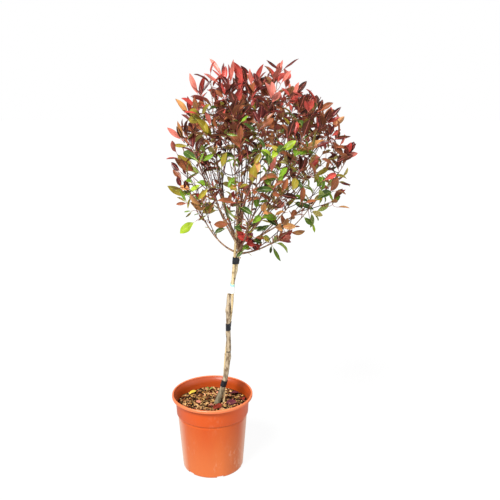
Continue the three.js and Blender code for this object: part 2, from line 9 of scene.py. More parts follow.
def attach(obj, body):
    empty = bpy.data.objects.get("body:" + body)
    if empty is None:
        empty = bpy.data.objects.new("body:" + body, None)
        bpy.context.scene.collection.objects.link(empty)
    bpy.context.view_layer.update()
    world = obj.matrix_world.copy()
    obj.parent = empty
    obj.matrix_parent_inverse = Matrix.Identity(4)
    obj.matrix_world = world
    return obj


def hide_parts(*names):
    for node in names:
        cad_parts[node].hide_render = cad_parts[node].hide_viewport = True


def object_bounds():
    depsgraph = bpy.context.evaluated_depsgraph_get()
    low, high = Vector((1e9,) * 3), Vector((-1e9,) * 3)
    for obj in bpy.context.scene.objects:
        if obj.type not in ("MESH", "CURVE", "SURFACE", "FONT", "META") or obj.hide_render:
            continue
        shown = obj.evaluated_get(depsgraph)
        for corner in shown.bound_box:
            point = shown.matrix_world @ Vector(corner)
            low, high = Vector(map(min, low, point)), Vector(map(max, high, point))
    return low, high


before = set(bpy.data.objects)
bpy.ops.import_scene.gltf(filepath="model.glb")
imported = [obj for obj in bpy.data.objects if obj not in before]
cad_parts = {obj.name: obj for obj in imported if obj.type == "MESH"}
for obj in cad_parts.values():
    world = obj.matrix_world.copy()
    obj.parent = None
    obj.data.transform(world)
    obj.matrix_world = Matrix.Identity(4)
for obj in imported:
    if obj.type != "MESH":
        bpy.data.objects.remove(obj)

CAD_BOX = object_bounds()
MM = 0.001
SEAT_GAP = 0.3

# Pot
POT_SIDES = 144
POT_HEIGHT = 232
RIM_RADIUS = 120
RIM_WIDTH = 5.4
RIM_DEPTH = 9
RIM_ROUNDING = 2.7
RIM_INNER_ROUNDING = 2.2
RIM_FOOT_ROUNDING = 1.6
RIM_FILLET = {"out": 1, "low": 2, "high": 0.4}
COLLAR_TOP_RADIUS = 109.4
COLLAR_FOOT_RADIUS = 107
COLLAR_DEPTH = 58.7
COLLAR_EDGE = {"inset": 0.6, "low": 0.2, "high": 1}
SHOULDER_RISE = 1.5
SHOULDER_ROUNDING = 0.4
STACKING_BEAD = {"below_shoulder": 9, "height": 3, "proud": 0.12}
BODY_TOP_RADIUS = 103.7
BASE_RADIUS = 90.8
BASE_ROUNDING = 4.4
BASE_DISC_RADIUS = 60
AXIS_RADIUS = 0.01
SKIRT_WIDTH = 8
GROOVE_HEIGHT = 6
NOTCHES = 6
NOTCH_WIDTH = 20
NOTCH_HEIGHT = 5
NOTCH_REACH = 12
NOTCH_DRAFT = 1.02
NOTCH_BEARING = -73.5
POT_WALL = 2.6
MOUTH_DROPS = (3, 6, 9)
MOUTH_TAPER = 0.6
THROAT = {"inset": 0.4, "below_rim": 12}
ARC_STEPS = 5
LIP_OUTSIDE = 2
LIP_COURSES = 3

# Bark compost
COMPOST_TOP = 198
COMPOST_BUMP = 3.5
COMPOST_WAVES = (17, 29, 13, 37)
COMPOST_RINGS = 30
COMPOST_SIDES = 120
CRUMBS = {"rise": 1.3, "size": 5, "fractal": (0.6, 2.2, 4), "most": 0.9}
STEM_SEAT = (23, 2)
STEM_SEAT_RADIUS = 27
STEM_ROOM = 11
WALL_ROOM = 4

# Bark chips by kind, and sticks by the material of each kind
CHIP_SEED = 5
CHIPS = {"tan": 380, "rose": 150, "gold": 110, "brown": 480, "olive": 300, "dark": 640}
CHIP_LENGTH = (3, 20)
CHIP_SHORTNESS = 2.6
CHIP_WIDTH = (0.35, 0.75)
CHIP_THICKNESS = (1.0, 3.2)
CHIP_TILT = 30
CHIP_LIFT = (0.2, 1.6)
CHIP_CORNERS = 7
CHIP_UNEVENNESS = (0.72, 1.12)
CHIP_TOP = 0.86
CHIP_EDGE = (0.3, 0.7)
CHIP_RIDGE = (-0.22, 0.2)
STICKS = {"dark": (34, "stick_bark"), "straw": (40, "straw")}
STICK_LENGTH = (10, 40)
STICK_RADII = (0.9, 0.525)
STICK_SIDES = 6
STICK_STEPS = 6
STICK_CURVE = 0.5
STICK_HEIGHT = 2.4
STICK_ROOM = 8

# Leaves on the compost and a small green sprout: the tint, where the foot lies, the blade's
# bearing and its tilt from upright, its length, and its width as a share of that
FALLEN_LIFT = 6
FALLEN_BEND = 0.3
Fallen = namedtuple("Fallen", "tint foot bearing tilt length width")
FALLEN = [
    Fallen("plum", (80, -4), 192, 84, 42, 0.62),
    Fallen("plum", (44, 52), 8, 84, 40, 0.62),
    Fallen("red", (35, -15), 229, 84, 46, 0.42),
    Fallen("rose", (9, -31), 184, 84, 20, 0.8),
    Fallen("yellow", (-77, 34), 56, 84, 42, 0.36),
    Fallen("red", (94, 2), 102, 84, 28, 0.6),
    Fallen("rose", (-52, 0), -30, 86, 20, 0.6),
    Fallen("green", (-13, 66), 20, 50, 14, 0.36),
    Fallen("green", (-13, 66), 160, 54, 15, 0.36),
    Fallen("green", (-12, 65), 250, 60, 17, 0.36),
    Fallen("green", (-14, 66), 200, 20, 15, 0.36),
]

# Trunk
TRUNK_SIDES = 26
TRUNK_STEPS = 190
TRUNK_FOOT_RADIUS = 8
TRUNK_TOP_RADIUS = 4.6
FLARE = 2.2
FLARE_HEIGHT = 16
TRUNK_PATH = [
    (14, 0, COMPOST_TOP + SEAT_GAP),
    (38, -8, 277),
    (49.5, -8, 360),
    (49.5, -8, 440),
    (50, -6.5, 500),
    (53, 1, 540),
    (62, 5.5, 570),
    (76.5, 2, 640),
    (84.5, 0, 700),
]
KNOT_HEIGHT = 9
KNOTS = [
    {"height": 348, "bearing": 0, "bulge": 1.6},
    {"height": 384, "bearing": 180, "bulge": 1},
    {"height": 424, "bearing": 180, "bulge": 1.5},
    {"height": 493, "bearing": 180, "bulge": 2.2},
    {"height": 607, "bearing": 0, "bulge": 1.4},
]
RING_SCARS = (366, 585)
RING_SCAR = {"depth": 0.7, "height": 1.6}
SCAR_RIDGE = {"share": 0.8, "height": 2.2, "above": 4}
TRUNK_RIDGES = 2.6
BARK_RIDGE = {"depth": 0.42, "length": 22, "fractal": (0.7, 2.1, 4)}
BARK_GRAIN = {"depth": 0.2, "length": 5, "finer": 2.2, "fractal": (0.6, 2.2, 3)}
STUB = {"height": 641, "bearing": -24, "length": 12, "radii": (2.9, 2.5), "tilt": 50}
STUB_SIDES = 12
STUB_STEPS = 6
STUB_RELIEF = {"share": 0.25, "length": 30, "ridges": 2}

# Cane
CANE_RADIUS = 4
CANE_INSET = 0.15
CANE_SIDES = 20
CANE_STEPS = 150
CANE_PATH = [
    (33.5, 5, COMPOST_TOP + SEAT_GAP),
    (39.5, 5.5, 328),
    (49, 4, 416),
    (60.5, -1, 508),
    (62.5, -5, 543),
    (64.2, -6, 592),
    (68, -7, 640),
    (72.5, -9, 695),
    (83, -11, 805),
]
CANE_JOINTS = (236, 352, 484, 606, 741)
CANE_JOINT = {"rise": 0.55, "height": 2.6}
CANE_GROOVE = {"depth": 0.35, "height": 1.1, "above": 3.6}
# Rings over the cane's cut end and down its bore, by their radius and their height over the end
CANE_END = [(3.5, -0.2), (2.1, -0.2), (1.9, -6)]

# Ties and label: heights up the stem, how far they stand off it, and their rise over the slope's span
BAND_POINTS = 72
BAND_LEVELS = 16
BAND_INSET = -0.35
SLOPE_SPAN = 20
TIES = [
    {"name": "tie_lower", "middle": 265, "height": 20, "margin": 0.9, "slope": -5},
    {"name": "tie_middle", "middle": 443, "height": 21, "margin": 0.9, "slope": 3},
    {"name": "tie_upper", "middle": 640, "height": 20, "margin": 1.1, "slope": -3},
]
TAPE_TURNS = 2.4
TAPE_STEP = 0.45
TAPE_CREASE = {"depth": 0.32, "round": 3, "up": 5}
LABEL = {"name": "stem_label", "middle": 557, "height": 26, "margin": 1.2, "slope": 1}
LABEL_CREASE = {"depth": 0.3, "round": 2, "up": 4}
LABEL_STRIPE = 7
TAIL = {"length": 15, "thick": 1.1, "sunk": 2, "narrows": 1.4, "swing": 2.2, "half_waves": 1.3}
TAIL_STEPS = 10
TAIL_SEARCH = 5

# Crown
CROWN_CENTRE = Vector((144, 0, 935))
CROWN_RADII = Vector((257, 250, 230))
CROWN_POWER = 2.4
BODY_POWER = 2
BODY_REACH = 0.86
RIGHT_SHOULDER = 1.34
CROWN_SEED = 9
GOLDEN_ANGLE = math.radians(137.508)

# Whips: the long shoots that rise from the trunk's head
WHIPS = 16
FIRST_BEARING = 56
LOWEST_WHIP = -28
WHIP_REACH = 0.82
STANDOUT = {0: 0.22, 1: 0.2, 10: 0.1, 14: 0.05}
HEAD_TOP = 694
HEAD_DEPTH = 36
LAUNCH_TILT = (30, 82)
FINISH_TILT = (2, 34)
WHIP_PULL = (0.32, 0.4)
JOINT_SHARE = 0.4
CANE_BEARING = 222
CANE_CLEAR = 42
BASAL_WHIPS = [{"bearing": 6, "foot": 657, "tilt": 80, "finish": 64, "length": 124}]
BASAL_EXTRA = 0.2
BOUGH_STEPS = 26
BOUGH_SIDES = 12
BOUGH_RADII = (2.7, 1.9)
STEM_STEPS = 34
STEM_RADII = (1.9, 0.9)
LEADER_RADIUS = 3.4
COLLAR_SWELL = 1.5
COLLAR_LENGTH = 0.12
BOUGH_RELIEF = {"share": 0.35, "ridges": 1.4, "apart": 50}
STEM_SHIFT = 0.4

# Shoots: side twigs that end at points spread over the crown and over an inner shell
SHELLS = [
    {"shoots": 88, "reach": 0.87, "lowest": -54, "first_bearing": 345, "leaves": 8},
    {"shoots": 12, "reach": 0.5, "lowest": -30, "first_bearing": 80, "leaves": 5},
]
SHOOT_SCATTER = 0.12
SHOOT_LENGTH = (80, 140)
SHOOT_STARTS = 18
SHOOT_START_RANGE = (0.05, 0.9)
SHOOT_STEPS = 8
SHOOT_LIFT = 0.9
SHOOT_RADII = (1.3, 0.8)
SHOOT_SIDES = 6
NEAREST_SHOOT = 22
LEAST_SHOOT_POINTS = 3
TIP_LEAVES = 11

# Rods: long side stems that leave the boughs low and rise between the whips
RODS = 38
ROD_REACH = (0.56, 0.86)
LOWEST_ROD = -22
FIRST_ROD_BEARING = 200
ROD_START = (0.3, 1.25)
ROD_PULL = (0.34, 0.32)
ROD_SPREAD = 1.6
ROD_LIFT = 1.5
ROD_STEPS = 16
ROD_BARE_STEPS = 5
ROD_RADII = (1.25, 0.7)
ROD_LEAVES = 8
ROD_TWIGS = 3

# Finer twigs on the shoots, the rods and the whips' stems
TWIG_SEED = 400
SHOOT_TWIGS = 2
STEM_TWIGS = 7
TWIG_LENGTH = (28, 62)
TWIG_LEAN = (26, 52)
TWIG_LIFT = 0.45
TWIG_STEPS = 4
TWIG_RADII = (0.85, 0.6)
TWIG_BUD = {"rise": 0.12, "waves": 2.5, "sharpness": 4}
TWIG_SIDES = 5
TWIG_LEAVES = 5
TWIG_RANGE = (0.3, 0.88)
TWIG_REACH = 0.84
LEAFLETS = 7
LEAFLET_LENGTH = (9, 22)
LEAFLET_SPREAD = (30, 75)

# How full the crown is from its foot up: sprays keep this share of their twigs and leaves
FULLNESS = [(680, 0.7), (770, 0.64), (830, 0.4), (945, 0.38), (1000, 0.64), (1045, 1)]

# Leaves
YOUNG_LEAF = 0.86
LEAF_WIDTH = (0.36, 0.47)
LEAF_WIDEST = 0.5
LEAF_FULLNESS = 1
LEAF_FOLD = (10, 38)
YOUNG_BEND = (-10, 46)
GROWN_BEND = (8, 80)
LEAST_BEND = 0.01
LEAF_TWIST = (-22, 22)
LEAF_WAVE = (0.0, 0.14)
LEAF_HALF_WAVES = 3
LEAF_CUP = 1.25
LEAF_STATIONS = 12
LEAF_COLUMNS = (-1, -0.5, 0, 0.5, 1)
LEAF_MIDDLE = 0.6
PETIOLE = 0.14
RIB_RADIUS = 0.55
RIB_RINGS = 8
RIB_LENGTH = 0.95
RIB_TAPER = 1.25
RIB_RISE = 0.3
RIB_KEEL = 1.3
LEAF_TRIES = 4
LEAF_RETRY_TURN = 1.9
LEAF_APART = 11.5
LEAF_CROWDING = 1.25
LIMB_ROOM = 6.5
BOX_MARGIN = 5
FOLIAGE_FLOOR = 560
YOUNG_SHARE = 0.45
STRAY_TINT = 0.18
# How leaves sit on each kind of twig: their length and lean, the bare share of the twig, and how
# far out in the crown their tips reach
Habit = namedtuple("Habit", "length lean bare reach power")
HABITS = {
    "tip": Habit((44, 62), (12, 66), 0.45, 1.0, CROWN_POWER),
    "shoot": Habit((36, 56), (14, 74), 0.4, 0.97, CROWN_POWER),
    "fine": Habit((28, 48), (20, 84), 0.25, BODY_REACH, BODY_POWER),
}

# Leaf tints by upper side, under side and rib, as sRGB
TINTS = {
    "coral": ((194, 76, 66), (222, 130, 114), "rose"),
    "salmon": ((220, 124, 108), (236, 170, 152), "rose"),
    "red": ((176, 58, 50), (214, 124, 108), "rose"),
    "plum": ((84, 32, 30), (166, 90, 80), "rose"),
    "maroon": ((72, 34, 22), (154, 96, 66), "rose"),
    "bronze": ((152, 90, 54), (198, 146, 100), "rose"),
    "tan": ((212, 152, 90), (232, 194, 142), "rose"),
    "olive": ((156, 138, 46), (202, 188, 108), "straw"),
    "green": ((112, 150, 36), (174, 194, 100), "straw"),
    "deep_green": ((66, 90, 34), (138, 156, 90), "straw"),
    "lime": ((160, 186, 44), (196, 212, 104), "straw"),
}
# The lowest height of each zone of the crown, from its top down, and the shares of each tint
# there for young and for grown leaves
Zone = namedtuple("Zone", "lowest young grown")
ZONES = [
    Zone(
        1075,
        {"coral": 4, "salmon": 0.9, "red": 1.4, "plum": 2, "bronze": 1.4},
        {"maroon": 3, "plum": 2, "bronze": 2.4, "coral": 1, "olive": 0.1},
    ),
    Zone(
        985,
        {"maroon": 2.8, "bronze": 3, "coral": 0.8, "olive": 0.4, "plum": 1.8},
        {"maroon": 3.4, "olive": 1.2, "deep_green": 1.3, "bronze": 3.2, "green": 0.6, "plum": 0.9},
    ),
    Zone(
        860,
        {
            "olive": 2.2,
            "green": 1.6,
            "bronze": 1.6,
            "tan": 1.2,
            "red": 0.5,
            "coral": 0.3,
            "lime": 0.4,
            "maroon": 1.2,
        },
        {"olive": 3, "green": 2, "bronze": 1.8, "deep_green": 2.2, "maroon": 1.6, "tan": 0.6},
    ),
    Zone(
        0,
        {"bronze": 2, "tan": 1.6, "red": 0.4, "green": 1.2, "olive": 1.6, "lime": 0.4, "maroon": 0.6},
        {"green": 1.6, "bronze": 2.4, "olive": 2, "deep_green": 1.2, "maroon": 1, "tan": 0.8},
    ),
]
# How much the zones run into each other, and how much higher they count at the crown's flanks
ZONE_BLUR = 40
FLANK = (0.62, 0.9)
FLANK_LIFT = 130

# Places where the photo shows white through the crown: their pixel, their half width and half
# height in pixels, and the share of leaves kept at their middle
Opening = namedtuple("Opening", "pixel size kept")
OPENINGS = [
    Opening((228, 172), (26, 20), 0.05),
    Opening((200, 174), (18, 13), 0.3),
    Opening((209, 86), (14, 14), 0.05),
    Opening((206, 66), (13, 15), 0),
    Opening((182, 86), (14, 14), 0),
    Opening((302, 78), (26, 18), 0.1),
    Opening((178, 152), (13, 26), 0.1),
    Opening((326, 208), (22, 14), 0.4),
    Opening((314, 89), (18, 14), 0.05),
    Opening((327, 103), (17, 16), 0.1),
    Opening((182, 177), (13, 10), 0.1),
    Opening((287, 99), (8, 8), 0.3),
    Opening((210, 108), (9, 9), 0.1),
    Opening((277, 90), (9, 10), 0.1),
    Opening((241, 177), (16, 11), 0.1),
    Opening((211, 177), (14, 11), 0.1),
    Opening((213, 72), (9, 12), 0.1),
]

# Sprays that stand out in the photo: the pixel where the twig ends, how far in front of the
# trunk that is, and the tint and the pixel of the tip of each leaf. Some also give their leaves'
# width as a share of their length, and the degrees that they turn away from the camera.
Spray = namedtuple("Spray", "end front tips width turn", defaults=(None, None))
SPRAY_LEAST = 26
SPRAY_PULL = 0.4
SPRAY_STEP = 0.07
SPRAY_DEPTH = 0.35
SPRAY_TURN = (-45, 45)
SPRAY_BEND = (0.05, 0.3)
SPRAY_SHOULDER = 1.6
SPRAY_TIP = 1.06
SPRAY_WIDTH = (0.23, 0.33)
SPRAYS = [
    Spray((199, 97), 10, [("salmon", 189, 74), ("coral", 204, 77), ("plum", 211, 79)], 0.24),
    Spray((190, 117), 0, [("tan", 177, 99), ("red", 188, 97), ("plum", 196, 103)]),
    Spray((223, 80), 20, [("salmon", 211, 57), ("plum", 222, 63), ("coral", 214, 69)], 0.22),
    Spray((222, 86), 40, [("salmon", 206, 73), ("coral", 226, 66), ("plum", 218, 76)]),
    Spray((231, 84), 30, [("salmon", 233, 61), ("coral", 229, 65), ("plum", 241, 74)], 0.18),
    Spray((246, 85), 40, [("coral", 234, 63), ("maroon", 244, 70)], 0.34),
    Spray((251, 75), 10, [("plum", 241, 66)]),
    Spray((253, 88), 30, [("coral", 262, 65), ("salmon", 249, 70), ("maroon", 265, 77)]),
    Spray((243, 86), 110, [("coral", 236, 102)], 0.5),
    Spray((226, 96), 70, [("plum", 218, 82), ("coral", 228, 78), ("maroon", 235, 83)]),
    Spray((225, 98), 90, [("red", 222, 84), ("maroon", 230, 86), ("bronze", 216, 90)]),
    Spray((240, 95), 60, [("maroon", 233, 78), ("coral", 241, 74), ("plum", 247, 79)]),
    Spray((240, 92), 30, [("coral", 238, 68), ("maroon", 236, 72), ("red", 244, 76)]),
    Spray((252, 98), 60, [("maroon", 246, 83), ("bronze", 254, 81), ("plum", 259, 86)]),
    Spray((270, 96), 50, [("plum", 266, 80), ("maroon", 274, 82), ("bronze", 260, 90)]),
    Spray((233, 100), 120, [("tan", 236, 114)], 0.5),
    Spray((281, 71), 0, [("plum", 267, 61), ("plum", 297, 59)], 0.18),
    Spray((281, 70), 10, [("salmon", 282, 60)], 0.36),
    Spray((280, 83), 10, [("coral", 268, 67), ("maroon", 268, 73), ("salmon", 290, 71)], 0.22),
    Spray((273, 98), 20, [("bronze", 262, 86), ("maroon", 267, 84)], 0.4),
    Spray((293, 97), 20, [("maroon", 307, 81), ("salmon", 298, 83), ("coral", 282, 88)]),
    Spray((305, 112), 120, [("maroon", 308, 93), ("maroon", 299, 96), ("coral", 313, 99)]),
    Spray((308, 112), 160, [("coral", 305, 101), ("coral", 313, 101)], 0.42, turn=0),
    Spray((318, 112), 90, [("bronze", 332, 103), ("maroon", 322, 100)], 0.44, turn=0),
    Spray((326, 123), 60, [("plum", 340, 107), ("maroon", 333, 115), ("coral", 339, 117)], turn=0),
    Spray((330, 137), 60, [("coral", 340, 130), ("plum", 334, 125), ("maroon", 325, 128)]),
    Spray((332, 140), 0, [("plum", 350, 136)], 0.16),
    Spray((331, 139), 50, [("bronze", 342, 155)], 0.3),
    Spray((343, 159), 40, [("red", 351, 143), ("salmon", 358, 153)], 0.42, turn=0),
    Spray((345, 157), 30, [("plum", 355, 144)], 0.26),
    Spray((340, 152), 40, [("plum", 328, 158), ("maroon", 338, 167)]),
    Spray((335, 181), 0, [("bronze", 344, 176), ("maroon", 338, 173), ("plum", 332, 176)]),
    Spray((338, 182), 0, [("plum", 350, 185)], 0.2),
    Spray((326, 171), 20, [("deep_green", 337, 167), ("tan", 329, 160)]),
    Spray((333, 201), 10, [("red", 345, 190), ("bronze", 342, 189)], 0.4),
    Spray((333, 203), 20, [("lime", 329, 192), ("green", 340, 196)]),
    Spray((336, 207), 0, [("tan", 350, 208)], 0.26),
    Spray((314, 178), 60, [("green", 322, 190), ("olive", 329, 169)]),
    Spray((301, 186), 90, [("green", 312, 190)]),
    Spray((294, 202), 90, [("deep_green", 314, 209), ("deep_green", 303, 208)]),
    Spray((303, 216), 40, [("green", 312, 225)], 0.4),
    Spray((311, 222), 30, [("lime", 316, 233)], 0.3),
    Spray((289, 233), 30, [("tan", 305, 232)], 0.4),
    Spray((288, 231), 40, [("red", 279, 239), ("bronze", 282, 215)], 0.4),
    Spray((272, 224), 60, [("deep_green", 257, 231), ("olive", 262, 220)]),
    Spray((272, 245), 20, [("green", 280, 260), ("deep_green", 270, 254)]),
    Spray((246, 237), 45, [("red", 237, 231), ("red", 250, 246)], 0.5),
    Spray((245, 239), 40, [("plum", 254, 241), ("plum", 241, 245)], 0.5),
    Spray((254, 237), 50, [("plum", 247, 231), ("bronze", 265, 237)], 0.5),
    Spray((253, 239), 55, [("deep_green", 262, 243), ("red", 247, 246)], 0.5),
    Spray((252, 243), 45, [("red", 260, 250), ("plum", 256, 250)], 0.55),
    Spray((251, 243), 40, [("green", 243, 249), ("red", 245, 238)], 0.5),
    Spray((244, 250), 30, [("deep_green", 237, 256), ("olive", 251, 248)], 0.4),
    Spray((247, 241), 60, [("red", 238, 236), ("plum", 252, 233)], 0.6),
    Spray((256, 246), 50, [("red", 248, 243), ("plum", 261, 239)], 0.6),
    Spray((243, 232), 60, [("deep_green", 235, 226), ("red", 247, 241)], 0.5),
    Spray((262, 236), 50, [("olive", 269, 241), ("deep_green", 254, 242)], 0.5),
    Spray((248, 230), 30, [("deep_green", 256, 224), ("bronze", 240, 226)], 0.4),
    Spray((252, 230), 50, [("deep_green", 264, 226), ("olive", 246, 222)], 0.4),
    Spray((242, 222), 50, [("deep_green", 235, 229), ("bronze", 233, 215)]),
    Spray((227, 228), 40, [("deep_green", 215, 232)], 0.5),
    Spray((196, 221), 20, [("lime", 180, 232)], 0.48),
    Spray((192, 211), 10, [("green", 184, 212), ("olive", 186, 217)]),
    Spray((207, 214), 10, [("olive", 199, 220), ("lime", 214, 207)], 0.2),
    Spray((202, 208), 20, [("lime", 203, 198), ("green", 213, 204), ("tan", 191, 202)]),
    Spray((198, 212), 10, [("tan", 192, 201), ("olive", 200, 200), ("bronze", 204, 222)]),
    Spray((187, 203), 0, [("olive", 177, 197), ("green", 180, 190), ("bronze", 176, 204)]),
    Spray((190, 197), 0, [("olive", 168, 187), ("olive", 187, 208), ("tan", 197, 207)]),
    Spray((182, 188), 40, [("plum", 177, 177)], 0.56),
    Spray((188, 193), 50, [("maroon", 185, 181), ("lime", 199, 185)], 0.5),
    Spray((206, 199), 40, [("red", 195, 193), ("bronze", 203, 189), ("maroon", 199, 201)]),
    Spray((215, 198), 50, [("plum", 209, 189), ("plum", 219, 189), ("plum", 212, 205)]),
    Spray((213, 203), 20, [("olive", 203, 212), ("lime", 204, 205), ("tan", 208, 214)]),
    Spray((227, 203), 60, [("coral", 229, 214), ("olive", 222, 196), ("bronze", 232, 193)]),
    Spray((237, 189), 60, [("red", 229, 184), ("maroon", 246, 186)]),
    Spray((196, 173), 20, [("bronze", 177, 159), ("olive", 178, 156)], 0.36),
    Spray((183, 141), 0, [("salmon", 168, 128), ("maroon", 177, 127), ("tan", 178, 122)]),
    Spray((190, 146), 0, [("olive", 172, 146), ("bronze", 183, 136)], 0.2),
    Spray((193, 116), 120, [("olive", 211, 135)], 0.36),
    Spray((211, 127), 120, [("salmon", 206, 112)], 0.36),
    Spray((200, 162), 165, [("green", 213, 155), ("green", 190, 156), ("green", 203, 153)]),
    Spray((224, 163), 190, [("green", 218, 154), ("green", 233, 159), ("green", 226, 153)]),
    Spray((239, 136), 200, [("green", 227, 134), ("deep_green", 249, 141)]),
    Spray((240, 123), 210, [("green", 248, 116)], 0.44),
    Spray((281, 152), 200, [("lime", 295, 141), ("olive", 272, 146)], 0.46, turn=0),
    Spray((270, 158), 140, [("green", 261, 150)], 0.44),
    Spray((300, 142), 120, [("green", 312, 132), ("olive", 293, 133)]),
    Spray((293, 156), 120, [("olive", 302, 148), ("tan", 325, 140)]),
    Spray((278, 184), 130, [("olive", 265, 194), ("olive", 281, 196)], 0.44),
    Spray((257, 193), 110, [("green", 256, 208), ("bronze", 270, 198)], 0.36),
    Spray((271, 174), 130, [("salmon", 274, 156)], 0.34),
]

# Camera and studio
PHOTO_SIZE = 500
CAMERA_PLACE = (0.1125, -1.8, 1.12)
CAMERA_TILT = 75.969
CAMERA_LENS = 47.234
SENSOR_WIDTH = 36
FLOOR_SIZE = 40
FLOOR_TONE = (70, 70, 70)
FLOOR_FIBRE = (68, 68, 68)
FLOOR_PATCHES = {"Scale": 2.0}
FLOOR_FINISH = {"roughness": 0.9, "specular_ior_level": 0.1}
FLOOR_GLOW = 0.45
FLOOR_LIFT = 0.93
SKY_STRENGTH = 0.33
KEY_SUN = {"strength": 5.3, "turn": (42, 0, -32), "spread": 22}
FILL_SUN = {"strength": 1.6, "turn": (60, 0, 50), "spread": 80}

# Pot plastic: the tones of each part, of its patches, its foot and its collar. Heights are in
# metres and run from where an effect starts to where it is full.
POT_TONES = {
    "pot_outside": ((200, 76, 12), (205, 87, 22), (208, 118, 62), (228, 88, 6)),
    # The lip's tones are a paler copy of the plastic: a painted highlight on the rim
    "pot_lip_painted_highlight": ((214, 108, 60), (222, 124, 78), (222, 124, 78), (218, 114, 68)),
    # The inside's tones are a darker copy of the plastic: painted shade inside the pot
    "pot_inside": ((162, 62, 12), (146, 52, 10), (112, 40, 14), (158, 59, 8)),
}
POT_PATCHES = {"Scale": 14.0, "Stretch": (1, 1, 0.35)}
# Painted light and shade towards the foot: the outside turns paler as painted floor bounce light, the
# inside darker as painted shade
FOOT_PAINTED_LIGHT_AND_SHADE = {"heights": (0.19, 0.02), "share": 0.6}
# Painted light: the collar takes a brighter, deeper tone that lifts the shadow the rim casts on it
COLLAR_PAINTED_LIGHT = {"heights": (0.172, 0.176), "share": 0.9}
# Painted sheen: where the pot's sides are seen edge-on, their colour turns pale by Layer Weight; the
# collar keeps only a small share of it
COLLAR_PAINTED_SHEEN = 0.05
PAINTED_SHEEN_BLEND = 0.5
PAINTED_EDGE_SHEEN = (0.5, 1.0, 0.8)
PAINTED_SHEEN_TONE = (255, 206, 176)
SCUFFS = {"Scale": 17.0, "Amount": 0.36, "Stretch": (1, 1, 0.5)}
SCUFF_HEIGHTS = (0.16, 0.01)
SCUFF_SHARES = (0.25, 1.0)
SCUFF_TONE = (246, 206, 178)
SCUFF_FULL = 0.5
POT_ROUGHNESS = (0.36, 0.6)
POT_GRAIN = {"Scale": 420.0, "Stretch": (1, 1, 0.6)}
POT_BUMP = (0.12, 0.0004)

# Earthy stuff: its two tones, the scale of its patches and its roughness
EARTHS = {
    "compost_mix": ((52, 28, 14), (24, 13, 6), 90.0, 0.95),
    "chip_tan": ((204, 162, 110), (134, 88, 48), 60.0, 0.85),
    "chip_rose": ((196, 130, 100), (130, 74, 52), 60.0, 0.85),
    "chip_gold": ((198, 156, 84), (142, 100, 44), 60.0, 0.8),
    "chip_brown": ((110, 60, 28), (62, 33, 15), 60.0, 0.88),
    "chip_olive": ((114, 88, 42), (70, 50, 24), 60.0, 0.88),
    "chip_dark": ((42, 21, 10), (20, 10, 5), 60.0, 0.9),
}
EARTH_GLOSS = 0.1
EARTH_GRAIN = {"Scale": 520.0, "Roughness": 0.75}
EARTH_BUMP = (0.55, 0.0012)

# Woody stuff: its two tones, the scale and the stretch of its streaks, its relief and its roughness
WOODS = {
    "stick_bark": ((96, 66, 44), (58, 38, 26), 200.0, (1, 1, 1), 0.5, 0.82),
    "straw": ((216, 176, 110), (168, 124, 70), 200.0, (1, 1, 1), 0.4, 0.82),
    "cut_wood": ((150, 84, 58), (112, 56, 38), 260.0, (1, 1, 1), 0.4, 0.82),
    "bough_bark": ((178, 140, 108), (116, 80, 60), 240.0, (1, 1, 0.3), 0.6, 0.82),
    "older_twig_bark": ((118, 78, 62), (62, 38, 34), 300.0, (1, 1, 0.4), 0.4, 0.82),
    "younger_twig_bark": ((176, 82, 68), (128, 56, 46), 300.0, (1, 1, 0.4), 0.3, 0.5),
    "rose_rib": ((206, 110, 96), (170, 70, 62), 200.0, (1, 1, 1), 0.2, 0.5),
    "straw_rib": ((186, 190, 110), (150, 150, 70), 200.0, (1, 1, 1), 0.2, 0.5),
    "fallen_rib": ((160, 104, 76), (124, 76, 56), 200.0, (1, 1, 1), 0.2, 0.5),
}
FISSURE_FINENESS = 3
WOOD_DEPTH = 0.001

# Trunk bark and cane
TRUNK_TONES = ((176, 157, 128), (112, 92, 68))
TRUNK_STREAKS = {"Scale": 150.0, "Stretch": (1, 1, 0.34), "Low": 0.42, "High": 0.6}
MOSS = {"heights": (0.3, 0.2), "share": 0.75, "tone": (100, 96, 74)}
# Painted light: the trunk's head turns paler to lift the shadow of the crown
HEAD_PAINTED_LIGHT = {"heights": (0.56, 0.6), "share": 0.85, "tone": (232, 212, 172)}
SCAR_BAND = {"reach": (0.004, 0.001), "share": 0.75, "tone": (44, 32, 24)}
LICHEN = {"Scale": 42.0, "Amount": 0.75, "Stretch": (1, 1, 0.5)}
LICHEN_TONE = (232, 216, 190)
TRUNK_ROUGHNESS = 0.84
TRUNK_FISSURES = {"Scale": 480.0, "Stretch": (1, 1, 0.25)}
TRUNK_BUMP = (0.7, 0.0012)
CANE_TONES = ((222, 198, 150), (184, 156, 106))
CANE_STREAKS = {"Scale": 330.0, "Stretch": (1, 1, 0.04), "Low": 0.4, "High": 0.7}
JOINT_BAND = {"reach": (0.005, 0.001), "share": 0.6, "tone": (128, 98, 60)}
CANE_ROUGHNESS = 0.42
CANE_FIBRES = {"Scale": 900.0, "Stretch": (1, 1, 0.05)}
CANE_BUMP = (0.3, 0.0004)

# Tape and film: the two tones, the roughness and how deep the creases are
SHEETS = {
    "black_tape": ((20, 21, 25), (38, 40, 46), 0.34, 0.5),
    "white_film": ((250, 251, 250), (240, 243, 242), 0.4, 0.2),
    "mint_film": ((176, 232, 218), (146, 216, 198), 0.4, 0.3),
}
SHEET_PATCHES = {"Scale": 160.0}
SHEET_CREASES = {"Scale": 260.0, "Stretch": (1, 1, 1.8)}
SHEET_DEPTH = 0.001

